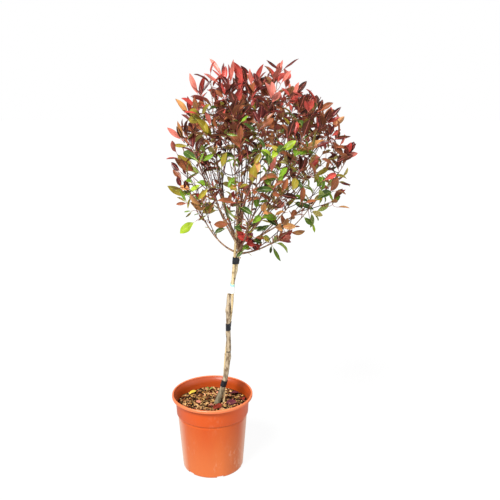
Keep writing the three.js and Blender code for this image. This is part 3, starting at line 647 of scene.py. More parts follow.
# Leaf skin, and the upper and under sides of the fallen leaves and the sprout
FALLEN_TINTS = {
    "plum": ((104, 46, 56), (150, 92, 96)),
    "red": ((150, 44, 30), (176, 84, 62)),
    "rose": ((206, 130, 106), (214, 160, 138)),
    "yellow": ((250, 222, 80), (244, 220, 130)),
    "green": ((120, 180, 40), (160, 196, 84)),
}
LEAF_SHADE = 0.74
LEAF_PATCHES = {"Scale": 24.0, "Low": 0.38, "High": 0.66}
LEAF_ROUGHNESS = (0.3, 0.6)
LEAF_GLOSS = 0.2
LEAF_GRAIN = {"Scale": 380.0, "Roughness": 0.5}
LEAF_BUMP = (0.25, 0.0006)

# Wear: how much finer its threads are than its patches, and where in the noise each starts and is full
WEAR_FINENESS = 9.0
WEAR_PATCHES = (0.52, 0.72)
WEAR_THREADS = (0.5, 0.66)

UP = Vector((0, 0, 1))
TO_CAMERA = Vector((-0.08, -0.86, 0.5))
FIRST_SIDE = Vector((1, 0.13, 0.07))
Frame = namedtuple("Frame", "point along side turn")
Whip = namedtuple("Whip", "index extra bough stem")


# Numbers between 0 and 1 that repeat on every run
def seeded(seed):
    state = ((seed + 1) * 2654435761) & 0xFFFFFFFF

    def draw():
        nonlocal state
        state = (state * 1664525 + 1013904223) & 0xFFFFFFFF
        return state / 4294967296

    return draw


def between(span, share):
    return span[0] + (span[1] - span[0]) * share


def smooth(share):
    s = min(max(share, 0), 1)
    return s * s * (3 - 2 * s)


def picked(shares, draw):
    """A name drawn from a table of names and their shares"""
    left = draw * sum(shares.values())
    for name, share in shares.items():
        left -= share
        if left <= 0:
            return name
    return name


# Points and faces gathered for one joined piece
class Batch:
    def __init__(self):
        self.points = []
        self.faces = []
        self.slots = []

    def add(self, points, faces, slot=0):
        first = len(self.points)
        self.points.extend(points)
        self.faces.extend([first + corner for corner in face] for face in faces)
        self.slots.extend([slot] * len(faces))

    def piece(self, name, materials, slot, nodes=(), sharp=None):
        mesh = bpy.data.meshes.new(name)
        mesh.from_pydata([[MM * c for c in p] for p in self.points], [], self.faces)
        for material in materials:
            mesh.materials.append(material)
        mesh.polygons.foreach_set("material_index", self.slots)
        mesh.polygons.foreach_set("use_smooth", [True] * len(self.faces))
        if sharp:
            mesh.set_sharp_from_angle(angle=math.radians(sharp))
        mesh.validate()
        made = bpy.data.objects.new(name, mesh)
        bpy.context.scene.collection.objects.link(made)
        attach(made, "root")
        if nodes:
            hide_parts(*nodes)
        return made


def ring_faces(rings, count, first=0):
    """Faces between rings of points that each run the same way round"""
    faces = []
    for r in range(rings - 1):
        for i in range(count):
            a = first + r * count + i
            b = first + r * count + (i + 1) % count
            faces.append((a, b, b + count, a + count))
    return faces


def add_loft(batch, rings, slot=0, capped=True):
    count = len(rings[0])
    faces = ring_faces(len(rings), count)
    if capped:
        last = (len(rings) - 1) * count
        faces.append(tuple(reversed(range(count))))
        faces.append(tuple(range(last, last + count)))
    batch.add([p for ring in rings for p in ring], faces, slot)


# Curves and paths
def point_on_curve(knots, share):
    """A point on the centripetal curve through some knots, as the source's curve runs"""
    at = share * (len(knots) - 1)
    step = min(int(at), len(knots) - 2)
    t = at - step
    p1 = knots[step]
    p2 = knots[step + 1]
    p0 = knots[step - 1] if step else 2 * knots[0] - knots[1]
    p3 = knots[step + 2] if step + 2 < len(knots) else 2 * knots[-1] - knots[-2]
    d0 = (p1 - p0).length ** 0.5
    d1 = (p2 - p1).length ** 0.5
    d2 = (p3 - p2).length ** 0.5
    start = ((p1 - p0) / d0 - (p2 - p0) / (d0 + d1) + (p2 - p1) / d1) * d1
    end = ((p2 - p1) / d1 - (p3 - p1) / (d1 + d2) + (p3 - p2) / d2) * d1
    square = 3 * (p2 - p1) - 2 * start - end
    cube = 2 * (p1 - p2) + start + end
    return p1 + start * t + square * t * t + cube * t * t * t


def curve_through(path, steps):
    """Points evenly spaced on a curve through a path"""
    knots = [Vector(p) for p in path]
    fine = [point_on_curve(knots, i / (4 * steps)) for i in range(4 * steps + 1)]
    return evenly_spaced(fine, steps)


def evenly_spaced(points, steps):
    lengths = [0.0]
    for a, b in zip(points, points[1:]):
        lengths.append(lengths[-1] + (b - a).length)
    spaced = []
    at = 0
    for i in range(steps + 1):
        wanted = lengths[-1] * i / steps
        while at < len(points) - 2 and lengths[at + 1] < wanted:
            at += 1
        share = (wanted - lengths[at]) / (lengths[at + 1] - lengths[at])
        spaced.append(points[at].lerp(points[at + 1], min(share, 1)))
    return spaced


def bezier(controls, share):
    points = list(controls)
    while len(points) > 1:
        points = [a.lerp(b, share) for a, b in zip(points, points[1:])]
    return points[0]


def samples(controls, start, end, steps):
    return [bezier(controls, between((start, end), i / steps)) for i in range(steps + 1)]


def point_along(points, share):
    at = share * (len(points) - 1)
    step = min(int(at), len(points) - 2)
    return points[step].lerp(points[step + 1], at - step)


def point_at_height(points, height):
    """Where a rising path passes a height"""
    after = next((i for i, p in enumerate(points) if p.z >= height), len(points) - 1)
    low = points[max(after, 1) - 1]
    high = points[max(after, 1)]
    return low.lerp(high, (height - low.z) / (high.z - low.z))


def square_to(direction, other):
    """The direction square to one that is nearest to another"""
    return (other - direction * other.dot(direction)).normalized()


def path_frames(points):
    """Directions along a path, and a sideways direction carried along it without twist"""
    frames = []
    side = FIRST_SIDE
    for i, point in enumerate(points):
        before = points[max(i - 1, 0)]
        after = points[min(i + 1, len(points) - 1)]
        along = (after - before).normalized()
        side = square_to(along, side)
        frames.append(Frame(point, along, side, along.cross(side)))
    return frames


def leaning(frame_at, bearing, degrees):
    """A direction leaning from along by a number of degrees, round it at a bearing"""
    lean = math.radians(degrees)
    across = frame_at.side * math.cos(bearing) + frame_at.turn * math.sin(bearing)
    return frame_at.along * math.cos(lean) + across * math.sin(lean)


def tilted(bearing, degrees):
    tilt = math.radians(degrees)
    turn = math.radians(bearing)
    return Vector((math.sin(tilt) * math.cos(turn), math.sin(tilt) * math.sin(turn), math.cos(tilt)))


def limb_rings(points, sides, radius_at, level=False):
    """Rings round a path: radius_at gives the radius at a share of the path and a bearing"""
    rings = []
    frames = path_frames(points)
    for r, frame_at in enumerate(frames):
        across = Vector((1, 0, 0)) if level else frame_at.side
        other = Vector((0, 1, 0)) if level else frame_at.turn
        ring = []
        for i in range(sides):
            bearing = 2 * math.pi * i / sides
            radius = radius_at(r / (len(frames) - 1), bearing)
            out = across * math.cos(bearing) + other * math.sin(bearing)
            ring.append(frame_at.point + out * radius)
        rings.append(ring)
    return rings


# Shader nodes
class Graph:
    def __init__(self, tree):
        self.tree = tree

    def add(self, kind, inputs=None, **settings):
        made = self.tree.nodes.new(kind)
        for name, value in settings.items():
            setattr(made, name, value)
        for name, value in (inputs or {}).items():
            self.feed(made.inputs[name], value)
        return made

    def feed(self, socket, value):
        if isinstance(value, bpy.types.NodeSocket):
            self.tree.links.new(value, socket)
        else:
            socket.default_value = value

    def mixed(self, factor, first, second):
        """A colour between two colours"""
        mix = self.add("ShaderNodeMix", data_type="RGBA")
        self.feed(mix.inputs["Factor"], factor)
        self.feed(mix.inputs["A"], first)
        self.feed(mix.inputs["B"], second)
        return mix.outputs["Result"]

    def ranged(self, value, low, high, to_low=0.0, to_high=1.0):
        """A value carried smoothly from one range to another"""
        span = {
            "Value": value,
            "From Min": low,
            "From Max": high,
            "To Min": to_low,
            "To Max": to_high,
        }
        return self.add("ShaderNodeMapRange", span, interpolation_type="SMOOTHSTEP").outputs[0]

    def maths(self, operation, first, second):
        made = self.add("ShaderNodeMath", operation=operation)
        self.feed(made.inputs[0], first)
        self.feed(made.inputs[1], second)
        return made.outputs[0]

    def height(self):
        """The height on the object, in metres"""
        place = self.add("ShaderNodeTexCoord").outputs["Object"]
        return self.add("ShaderNodeSeparateXYZ", {"Vector": place}).outputs["Z"]


def colour(red, green, blue):
    """A linear colour from sRGB values of 0 to 255"""
    linear = [
        c / 12.92 if c <= 0.04045 else ((c + 0.055) / 1.055) ** 2.4
        for c in (red / 255, green / 255, blue / 255)
    ]
    return (*linear, 1.0)


def new_group(name, inputs, outputs):
    """A shader node group with named sockets, and its graph, entry and exit"""
    tree = bpy.data.node_groups.new(name, "ShaderNodeTree")
    for socket, (kind, value) in inputs.items():
        made = tree.interface.new_socket(socket, in_out="INPUT", socket_type="NodeSocket" + kind)
        made.default_value = value
    for socket, kind in outputs.items():
        tree.interface.new_socket(socket, in_out="OUTPUT", socket_type="NodeSocket" + kind)
    graph = Graph(tree)
    entry = graph.add("NodeGroupInput")
    leave = graph.add("NodeGroupOutput")
    return graph, entry.outputs, leave.inputs


def stretched_place(graph, stretch):
    """The place on the object, scaled apart along each axis"""
    place = graph.add("ShaderNodeTexCoord").outputs["Object"]
    scaled = graph.add("ShaderNodeVectorMath", operation="MULTIPLY")
    graph.feed(scaled.inputs[0], place)
    graph.feed(scaled.inputs[1], stretch)
    return scaled.outputs[0]


def mottle_group():
    """Two colours that run into each other in patches"""
    inputs = {
        "Ground": ("Color", (0.5, 0.5, 0.5, 1)),
        "Patch": ("Color", (0.3, 0.3, 0.3, 1)),
        "Scale": ("Float", 40.0),
        "Stretch": ("Vector", (1, 1, 1)),
        "Low": ("Float", 0.4),
        "High": ("Float", 0.65),
    }
    graph, entry, leave = new_group("mottle", inputs, {"Color": "Color", "Mask": "Float"})
    place = stretched_place(graph, entry["Stretch"])
    spots = graph.add("ShaderNodeTexNoise", {"Vector": place, "Scale": entry["Scale"], "Detail": 5.0})
    mask = graph.ranged(spots.outputs["Fac"], entry["Low"], entry["High"])
    graph.feed(leave["Color"], graph.mixed(mask, entry["Ground"], entry["Patch"]))
    graph.feed(leave["Mask"], mask)
    return graph.tree


def grain_group():
    """A height of fine grain over broader ripples"""
    inputs = {
        "Scale": ("Float", 200.0),
        "Stretch": ("Vector", (1, 1, 1)),
        "Roughness": ("Float", 0.6),
    }
    graph, entry, leave = new_group("grain", inputs, {"Height": "Float"})
    place = stretched_place(graph, entry["Stretch"])
    grain = {"Vector": place, "Scale": entry["Scale"], "Detail": 6.0, "Roughness": entry["Roughness"]}
    graph.feed(leave["Height"], graph.add("ShaderNodeTexNoise", grain).outputs["Fac"])
    return graph.tree


def wear_group():
    """A mask of scratches and rubbed spots, thickest where its noise peaks"""
    inputs = {
        "Scale": ("Float", 30.0),
        "Amount": ("Float", 0.5),
        "Stretch": ("Vector", (1, 1, 1)),
    }
    graph, entry, leave = new_group("wear", inputs, {"Mask": "Float"})
    place = stretched_place(graph, entry["Stretch"])
    broad = graph.add("ShaderNodeTexNoise", {"Vector": place, "Scale": entry["Scale"], "Detail": 3.0})
    fine_scale = graph.maths("MULTIPLY", entry["Scale"], WEAR_FINENESS)
    fine = graph.add("ShaderNodeTexNoise", {"Vector": place, "Scale": fine_scale, "Detail": 8.0})
    patches = graph.ranged(broad.outputs["Fac"], *WEAR_PATCHES)
    threads = graph.ranged(fine.outputs["Fac"], *WEAR_THREADS)
    worn = graph.maths("MULTIPLY", patches, threads)
    graph.feed(leave["Mask"], graph.maths("MULTIPLY", worn, entry["Amount"]))
    return graph.tree


MOTTLE = mottle_group()
GRAIN = grain_group()
WEAR = wear_group()


def new_material(name):
    """A material's graph and its Principled shader"""
    material = bpy.data.materials.new(name)
    material.use_nodes = True
    graph = Graph(material.node_tree)
    return material, graph, material.node_tree.nodes["Principled BSDF"]


def grouped(graph, group, inputs):
    made = graph.add("ShaderNodeGroup", node_tree=group)
    for name, value in inputs.items():
        graph.feed(made.inputs[name], value)
    return made.outputs


def set_finish(shader, **values):
    for name, value in values.items():
        shader.inputs[name.replace("_", " ").title().replace("Ior", "IOR")].default_value = value


def add_relief(graph, shader, grain, strength, distance):
    """A bump of fine grain"""
    height = grouped(graph, GRAIN, grain)["Height"]
    bump = graph.add("ShaderNodeBump", {"Height": height, "Strength": strength, "Distance": distance})
    graph.feed(shader.inputs["Normal"], bump.outputs["Normal"])


def mottled(graph, ground, patch, patches):
    """The colour of two tones in patches"""
    tones = {"Ground": colour(*ground), "Patch": colour(*patch), **patches}
    return grouped(graph, MOTTLE, tones)["Color"]


def faded(graph, ground, height, fade, tone):
    """A colour that gives way to another over a range of heights"""
    share = graph.ranged(height, *fade["heights"], 0.0, fade["share"])
    return graph.mixed(share, ground, colour(*tone))


def banded(graph, ground, height, levels, band):
    """A colour with darker bands round some heights"""
    for level in levels:
        off = graph.maths("ABSOLUTE", graph.maths("SUBTRACT", height, level * MM), 0.0)
        share = graph.ranged(off, *band["reach"], 0.0, band["share"])
        ground = graph.mixed(share, ground, colour(*band["tone"]))
    return ground


def pot_plastic(name):
    """Satin orange plastic in patches and scuffed towards its foot, with painted light and shade in its
    foot and collar tones and a painted pale sheen at its sides seen edge-on
    """
    material, graph, shader = new_material(name)
    ground, patch, foot, collar = POT_TONES[name]
    height = graph.height()
    tone = mottled(graph, ground, patch, POT_PATCHES)
    # Painted light and shade towards the foot: paler outside as floor bounce light, darker inside as shade
    tone = faded(graph, tone, height, FOOT_PAINTED_LIGHT_AND_SHADE, foot)
    # Painted light on the collar that lifts the rim's shadow
    tone = faded(graph, tone, height, COLLAR_PAINTED_LIGHT, collar)
    scuffs = grouped(graph, WEAR, SCUFFS)["Mask"]
    near_foot = graph.ranged(height, *SCUFF_HEIGHTS, *SCUFF_SHARES)
    tone = graph.mixed(graph.maths("MULTIPLY", scuffs, near_foot), tone, colour(*SCUFF_TONE))
    # Painted sheen: the colour turns pale where the side is seen edge-on, mostly below the collar
    start, full, share = PAINTED_EDGE_SHEEN
    facing = graph.add("ShaderNodeLayerWeight", {"Blend": PAINTED_SHEEN_BLEND}).outputs["Facing"]
    edge = graph.ranged(facing, start, full, 0.0, share)
    below = graph.ranged(height, *COLLAR_PAINTED_LIGHT["heights"], 1.0, COLLAR_PAINTED_SHEEN)
    tone = graph.mixed(graph.maths("MULTIPLY", edge, below), tone, colour(*PAINTED_SHEEN_TONE))
    graph.feed(shader.inputs["Base Color"], tone)
    graph.feed(shader.inputs["Roughness"], graph.ranged(scuffs, 0.0, SCUFF_FULL, *POT_ROUGHNESS))
    add_relief(graph, shader, POT_GRAIN, *POT_BUMP)
    return material


def patchy(name, ground, patch, patches, grain, bump, **finish):
    """Two near tones in patches under a grain"""
    material, graph, shader = new_material(name)
    graph.feed(shader.inputs["Base Color"], mottled(graph, ground, patch, patches))
    set_finish(shader, **finish)
    add_relief(graph, shader, grain, *bump)
    return material


def earthy(name):
    """Bark compost and its chips: two browns in patches under a coarse grain"""
    ground, patch, scale, roughness = EARTHS[name]
    finish = {"roughness": roughness, "specular_ior_level": EARTH_GLOSS}
    return patchy(name, ground, patch, {"Scale": scale}, EARTH_GRAIN, EARTH_BUMP, **finish)


def woody(name):
    """Bark in streaks along the limb, with fissures in its bump"""
    ground, patch, scale, stretch, relief, roughness = WOODS[name]
    streaks = {"Scale": scale, "Stretch": stretch}
    fissures = {"Scale": FISSURE_FINENESS * scale, "Stretch": stretch}
    return patchy(name, ground, patch, streaks, fissures, (relief, WOOD_DEPTH), roughness=roughness)


def thin_sheet(name):
    """Tape and film: near plain, with soft creases"""
    ground, patch, roughness, crease = SHEETS[name]
    bump = (crease, SHEET_DEPTH)
    return patchy(name, ground, patch, SHEET_PATCHES, SHEET_CREASES, bump, roughness=roughness)


def trunk_bark():
    """Grey-tan bark, dark in its scars and greener above the compost, with painted light at its head that
    lifts the crown's shadow
    """
    material, graph, shader = new_material("trunk_bark")
    height = graph.height()
    tone = mottled(graph, *TRUNK_TONES, TRUNK_STREAKS)
    tone = faded(graph, tone, height, MOSS, MOSS["tone"])
    tone = faded(graph, tone, height, HEAD_PAINTED_LIGHT, HEAD_PAINTED_LIGHT["tone"])
    tone = banded(graph, tone, height, RING_SCARS, SCAR_BAND)
    lichen = grouped(graph, WEAR, LICHEN)["Mask"]
    graph.feed(shader.inputs["Base Color"], graph.mixed(lichen, tone, colour(*LICHEN_TONE)))
    set_finish(shader, roughness=TRUNK_ROUGHNESS)
    add_relief(graph, shader, TRUNK_FISSURES, *TRUNK_BUMP)
    return material


def bamboo_skin():
    """Straw-coloured cane with fine lengthways fibres, darker at its joints"""
    material, graph, shader = new_material("bamboo_skin")
    skin = mottled(graph, *CANE_TONES, CANE_STREAKS)
    skin = banded(graph, skin, graph.height(), CANE_JOINTS, JOINT_BAND)
    graph.feed(shader.inputs["Base Color"], skin)
    set_finish(shader, roughness=CANE_ROUGHNESS)
    add_relief(graph, shader, CANE_FIBRES, *CANE_BUMP)
    return material


def leaf_material(name, upper, under):
    """A glossy upper side in two near tones, and a paler matt under side"""
    material, graph, shader = new_material("leaf_" + name)
    top = mottled(graph, upper, [LEAF_SHADE * c for c in upper], LEAF_PATCHES)
    back = graph.add("ShaderNodeNewGeometry").outputs["Backfacing"]
    graph.feed(shader.inputs["Base Color"], graph.mixed(back, top, colour(*under)))
    graph.feed(shader.inputs["Roughness"], graph.ranged(back, 0.0, 1.0, *LEAF_ROUGHNESS))
    set_finish(shader, specular_ior_level=LEAF_GLOSS)
    add_relief(graph, shader, LEAF_GRAIN, *LEAF_BUMP)
    return material


# Pot
def arc(centre, radius, start, end):
    """Points on an arc of the pot's section, from one angle to another in degrees"""
    turned = []
    for i in range(ARC_STEPS + 1):
        angle = math.radians(between((start, end), i / ARC_STEPS))
        turned.append((centre[0] + radius * math.cos(angle), centre[1] + radius * math.sin(angle)))
    return turned


def pot_inside(clearance):
    wall = POT_WALL + clearance
    shoulder = POT_HEIGHT - COLLAR_DEPTH
    return [
        (BASE_RADIUS - wall, GROOVE_HEIGHT + wall),
        (BODY_TOP_RADIUS - wall, shoulder - SHOULDER_RISE),
        (COLLAR_FOOT_RADIUS - wall, shoulder + 2 * SHOULDER_RISE),
    ]


def body_radius(height):
    """The body's outer radius at a height below the shoulder"""
    shoulder = POT_HEIGHT - COLLAR_DEPTH
    share = (height - BASE_ROUNDING) / (shoulder - BASE_ROUNDING)
    return between((BASE_RADIUS, BODY_TOP_RADIUS), share)


def base_section():
    """The underside: a disc to stand on, a groove and the skirt round it"""
    skirt = BASE_RADIUS - SKIRT_WIDTH
    draft = SHOULDER_RISE / 2
    section = [
        (AXIS_RADIUS, 0),
        (BASE_DISC_RADIUS, 0),
        (BASE_DISC_RADIUS + draft, GROOVE_HEIGHT),
        (skirt, GROOVE_HEIGHT),
        (skirt + draft, 0),
    ]
    return section + arc((BASE_RADIUS - BASE_ROUNDING, BASE_ROUNDING), BASE_ROUNDING, -90, 0)


def side_section():
    """The body with its stacking bead, the shoulder and the collar"""
    shoulder = POT_HEIGHT - COLLAR_DEPTH
    rim = POT_HEIGHT - RIM_DEPTH
    bead = shoulder - STACKING_BEAD["below_shoulder"]
    half = STACKING_BEAD["height"] / 2
    bead_radius = body_radius(bead) + STACKING_BEAD["proud"]
    return [
        (body_radius(bead - half), bead - half),
        (bead_radius, bead - half / 2),
        (bead_radius, bead + half / 2),
        (body_radius(bead + half), bead + half),
        (BODY_TOP_RADIUS, shoulder - SHOULDER_ROUNDING),
        (BODY_TOP_RADIUS + SHOULDER_ROUNDING, shoulder),
        (COLLAR_FOOT_RADIUS - COLLAR_EDGE["inset"], shoulder + COLLAR_EDGE["low"]),
        (COLLAR_FOOT_RADIUS, shoulder + COLLAR_EDGE["high"]),
        (COLLAR_TOP_RADIUS, rim - RIM_FILLET["low"]),
        (COLLAR_TOP_RADIUS + RIM_FILLET["out"], rim - RIM_FILLET["high"]),
    ]


def rim_section():
    """The rolled rim, and the mouth inside it"""
    rim = POT_HEIGHT - RIM_DEPTH
    mouth = RIM_RADIUS - RIM_WIDTH
    inner = RIM_INNER_ROUNDING
    foot = (RIM_RADIUS - RIM_FOOT_ROUNDING, rim + RIM_FOOT_ROUNDING)
    section = arc(foot, RIM_FOOT_ROUNDING, -90, 0)
    section += arc((RIM_RADIUS - RIM_ROUNDING, POT_HEIGHT - RIM_ROUNDING), RIM_ROUNDING, 0, 90)
    section += arc((mouth + inner, POT_HEIGHT - inner), inner, 90, 180)
    section += [(mouth - drop * MOUTH_TAPER, POT_HEIGHT - inner - drop) for drop in MOUTH_DROPS]
    return section + [(COLLAR_TOP_RADIUS - POT_WALL - THROAT["inset"], rim - THROAT["below_rim"])]


def pot_section():
    """The pot's outline from the middle of its underside, up its outside and down its inside"""
    floor = [
        (BASE_DISC_RADIUS, GROOVE_HEIGHT + POT_WALL),
        (BASE_DISC_RADIUS - POT_WALL, POT_WALL),
        (AXIS_RADIUS, POT_WALL),
    ]
    return base_section() + side_section() + rim_section() + pot_inside(0)[::-1] + floor


def from_notch(bearing):
    """Degrees from a bearing to the middle of the nearest notch"""
    off = (bearing - NOTCH_BEARING) % (360 / NOTCHES)
    return min(off, 360 / NOTCHES - off)


def pot_columns():
    """Bearings of the pot's columns in degrees, each with the height of the notch there"""
    half = math.degrees(NOTCH_WIDTH / 2 / BASE_RADIUS)
    columns = []
    for i in range(POT_SIDES):
        bearing = 360 * i / POT_SIDES
        columns.append((bearing, NOTCH_HEIGHT if from_notch(bearing) < half else 0))
    for n in range(NOTCHES):
        middle = NOTCH_BEARING + 360 * n / NOTCHES
        for edge in (-half, half):
            columns.append(((middle + edge) % 360, NOTCH_HEIGHT))
            columns.append(((middle + edge * NOTCH_DRAFT) % 360, 0))
    return sorted(columns)


def add_pot():
    batch = Batch()
    section = pot_section()
    columns = pot_columns()
    rings = []
    for radius, height in section:
        notched = radius > BASE_RADIUS - NOTCH_REACH and height < NOTCH_HEIGHT
        ring = []
        for bearing, notch in columns:
            turn = math.radians(bearing)
            lifted = max(height, notch) if notched else height
            ring.append((radius * math.cos(turn), radius * math.sin(turn), lifted))
        rings.append(ring)
    add_loft(batch, rings)
    # Slots: the outside, a paler copy of the plastic over the rim as a painted highlight, and a darker
    # copy down the inside as painted shade
    mouth = max(i for i, corner in enumerate(section) if round(corner[1], 3) == POT_HEIGHT)
    lip = next(i for i, corner in enumerate(section) if corner[0] > RIM_RADIUS - LIP_OUTSIDE)
    courses = [n // len(columns) for n in range(len(batch.faces))]
    batch.slots = [(course >= lip) + (course > mouth + LIP_COURSES) for course in courses]
    looks = [pot_plastic(name) for name in POT_TONES]
    batch.piece("nursery_pot", looks, "orange_plastic", ["pot"], sharp=40)


# Bark compost
def compost_top(x, y):
    from_stems = math.hypot(x - STEM_SEAT[0], y - STEM_SEAT[1])
    rough = smooth(from_stems / STEM_SEAT_RADIUS - 1)
    a, b, c, d = COMPOST_WAVES
    bumps = (math.sin(x / a + y / b) + math.cos(y / c - x / d)) / 2
    return COMPOST_TOP + rough * COMPOST_BUMP * bumps


def crumbly_top(x, y):
    crumbs = noise.fractal(Vector((x, y, 0)) / CRUMBS["size"], *CRUMBS["fractal"])
    return compost_top(x, y) + CRUMBS["rise"] * min(crumbs, CRUMBS["most"])


def compost_ring(radius, height_at):
    ring = []
    for i in range(COMPOST_SIDES):
        bearing = 2 * math.pi * i / COMPOST_SIDES
        x = radius * math.cos(bearing)
        y = radius * math.sin(bearing)
        ring.append((x, y, height_at(x, y)))
    return ring


def add_compost():
    batch = Batch()
    inside = pot_inside(SEAT_GAP)
    rings = [compost_ring(BASE_DISC_RADIUS, lambda x, y: inside[0][1])]
    rings += [compost_ring(radius, lambda x, y, z=height: z) for radius, height in inside]
    edge = COLLAR_FOOT_RADIUS - POT_WALL - SEAT_GAP
    rings += [compost_ring(edge * r / COMPOST_RINGS, crumbly_top) for r in range(COMPOST_RINGS, 0, -1)]
    add_loft(batch, rings)
    batch.piece("compost_bed", [earthy("compost_mix")], "bark_compost", ["growing_medium"], sharp=50)


def chip_place(random, length):
    """A place on the compost clear of the stems and of the pot's wall"""
    while True:
        radius = (COLLAR_FOOT_RADIUS - WALL_ROOM - length / 2) * math.sqrt(random())
        bearing = 2 * math.pi * random()
        x = radius * math.cos(bearing)
        y = radius * math.sin(bearing)
        feet = (TRUNK_PATH[0], CANE_PATH[0])
        if all(math.hypot(x - foot[0], y - foot[1]) > STEM_ROOM for foot in feet):
            return x, y


def chip_faces():
    """Faces of a chip: its under side, its sides, and a top that rises to a ridge of two points"""
    count = CHIP_CORNERS
    first = 2 * count
    last = first + 1

    def nearer(step):
        return last if math.cos(2 * math.pi * step / count) > 0 else first

    faces = ring_faces(2, count)
    faces.append(tuple(reversed(range(count))))
    for i in range(count):
        faces.append((count + i, count + (i + 1) % count, nearer(i + 0.5)))
    for i in range(count):
        if nearer(i - 0.5) != nearer(i + 0.5):
            faces.append((count + i, nearer(i + 0.5), nearer(i - 0.5)))
    return faces


def add_chip(batch, random):
    """A torn flake of bark: an uneven outline, a top that rises to a ridge, and a flat under side"""
    length = between(CHIP_LENGTH, random() ** CHIP_SHORTNESS)
    x, y = chip_place(random, length)
    width = length * between(CHIP_WIDTH, random())
    thick = between(CHIP_THICKNESS, random())
    turn = 2 * math.pi * random()
    tilt = math.radians(CHIP_TILT) * (2 * random() - 1)
    roll = math.radians(CHIP_TILT) * (2 * random() - 1)
    along = Vector((math.cos(turn) * math.cos(tilt), math.sin(turn) * math.cos(tilt), math.sin(tilt)))
    side = along.cross(UP).normalized() * math.cos(roll) + UP * math.sin(roll)
    up = side.cross(along).normalized()
    centre = Vector((x, y, compost_top(x, y) + between(CHIP_LIFT, random())))
    outline = []
    for i in range(CHIP_CORNERS):
        angle = 2 * math.pi * i / CHIP_CORNERS
        uneven = between(CHIP_UNEVENNESS, random())
        out = along * (length / 2 * uneven * math.cos(angle))
        outline.append(centre + out + side * (width / 2 * uneven * math.sin(angle)))
    lower = [p - up * thick / 2 for p in outline]
    upper = [centre + (p - centre) * CHIP_TOP + up * thick * between(CHIP_EDGE, random()) for p in outline]
    ridge = [centre + along * length * share + up * thick for share in CHIP_RIDGE]
    batch.add(lower + upper + ridge, CHIP_FACES)


CHIP_FACES = chip_faces()


def add_chips():
    random = seeded(CHIP_SEED)
    for kind, count in CHIPS.items():
        batch = Batch()
        for _ in range(count):
            add_chip(batch, random)
        batch.piece("chips_" + kind, [earthy("chip_" + kind)], "bark_compost", sharp=35)


def stick_radius(share, bearing):
    return between(STICK_RADII, share)


def add_sticks():
    """Thin bent sticks and straws among the bark chips"""
    for kind, (count, look) in STICKS.items():
        random = seeded(CHIP_SEED + count)
        batch = Batch()
        for _ in range(count):
            turn = 2 * math.pi * random()
            length = between(STICK_LENGTH, random())
            x, y = chip_place(random, length)
            out = Vector((math.cos(turn), math.sin(turn), 0)) * length / 2
            centre = Vector((x, y, 0))
            bend = Vector((-out.y, out.x, 0)) * 2 * STICK_CURVE * (random() - 0.5)
            ends = [centre - out, centre + bend, centre + out]
            path = [Vector((p.x, p.y, compost_top(p.x, p.y) + STICK_HEIGHT)) for p in ends]
            if all(math.hypot(p.x, p.y) <= COLLAR_FOOT_RADIUS - STICK_ROOM for p in path):
                points = samples(path, 0, 1, STICK_STEPS)
                add_loft(batch, limb_rings(points, STICK_SIDES, stick_radius))
        batch.piece("compost_sticks_" + kind, [woody(look)], "bark_compost", sharp=50)


# Trunk and cane
TRUNK_POINTS = curve_through(TRUNK_PATH, TRUNK_STEPS)
CANE_POINTS = curve_through(CANE_PATH, CANE_STEPS)


def trunk_radius(height, bearing):
    foot = COMPOST_TOP + SEAT_GAP
    top = TRUNK_PATH[-1][2]
    taper = between((TRUNK_FOOT_RADIUS, TRUNK_TOP_RADIUS), (height - foot) / (top - foot))
    flare = FLARE * math.exp(-(height - foot) / FLARE_HEIGHT)
    knots = 0
    for knot in KNOTS:
        off = (height - knot["height"]) / KNOT_HEIGHT
        facing = 0.5 + 0.5 * math.cos(bearing - math.radians(knot["bearing"]))
        knots += knot["bulge"] * math.exp(-off * off) * facing
    return taper + flare + knots


def bark_relief(bearing, height, ridges):
    """Ridges that run up the limb and cross grain on them, in millimetres"""
    place = Vector((math.cos(bearing), math.sin(bearing), 0)) * ridges
    ridge = noise.fractal(place + UP * (height / BARK_RIDGE["length"]), *BARK_RIDGE["fractal"])
    finer = place * BARK_GRAIN["finer"]
    grain = noise.fractal(finer + UP * (height / BARK_GRAIN["length"]), *BARK_GRAIN["fractal"])
    return BARK_RIDGE["depth"] * ridge + BARK_GRAIN["depth"] * grain


def swell(height, levels, sizes):
    """Rounded rises at some heights, or a little above them, each 1 at its middle"""
    above = sizes.get("above", 0)
    return sum(math.exp(-(((height - level - above) / sizes["height"]) ** 2)) for level in levels)


def add_trunk():
    def radius_at(share, bearing):
        height = TRUNK_POINTS[round(share * TRUNK_STEPS)].z
        scars = swell(height, RING_SCARS, RING_SCAR)
        ridge = swell(height, RING_SCARS, SCAR_RIDGE)
        relief = bark_relief(bearing, height, TRUNK_RIDGES)
        scar = RING_SCAR["depth"] * (SCAR_RIDGE["share"] * ridge - scars)
        return trunk_radius(height, bearing) + relief + scar

    def stub_radius(share, bearing):
        relief = bark_relief(bearing, STUB_RELIEF["length"] * share, STUB_RELIEF["ridges"])
        return between(STUB["radii"], share) + STUB_RELIEF["share"] * relief

    batch = Batch()
    add_loft(batch, limb_rings(TRUNK_POINTS, TRUNK_SIDES, radius_at, level=True))
    start = point_at_height(TRUNK_POINTS, STUB["height"])
    out = tilted(STUB["bearing"], STUB["tilt"])
    points = [start + out * (STUB["length"] * i / STUB_STEPS) for i in range(STUB_STEPS + 1)]
    add_loft(batch, limb_rings(points, STUB_SIDES, stub_radius))
    batch.slots[-1] = 1
    looks = [trunk_bark(), woody("cut_wood")]
    batch.piece("trunk_bark_relief", looks, "bark", ["trunk"], sharp=60)


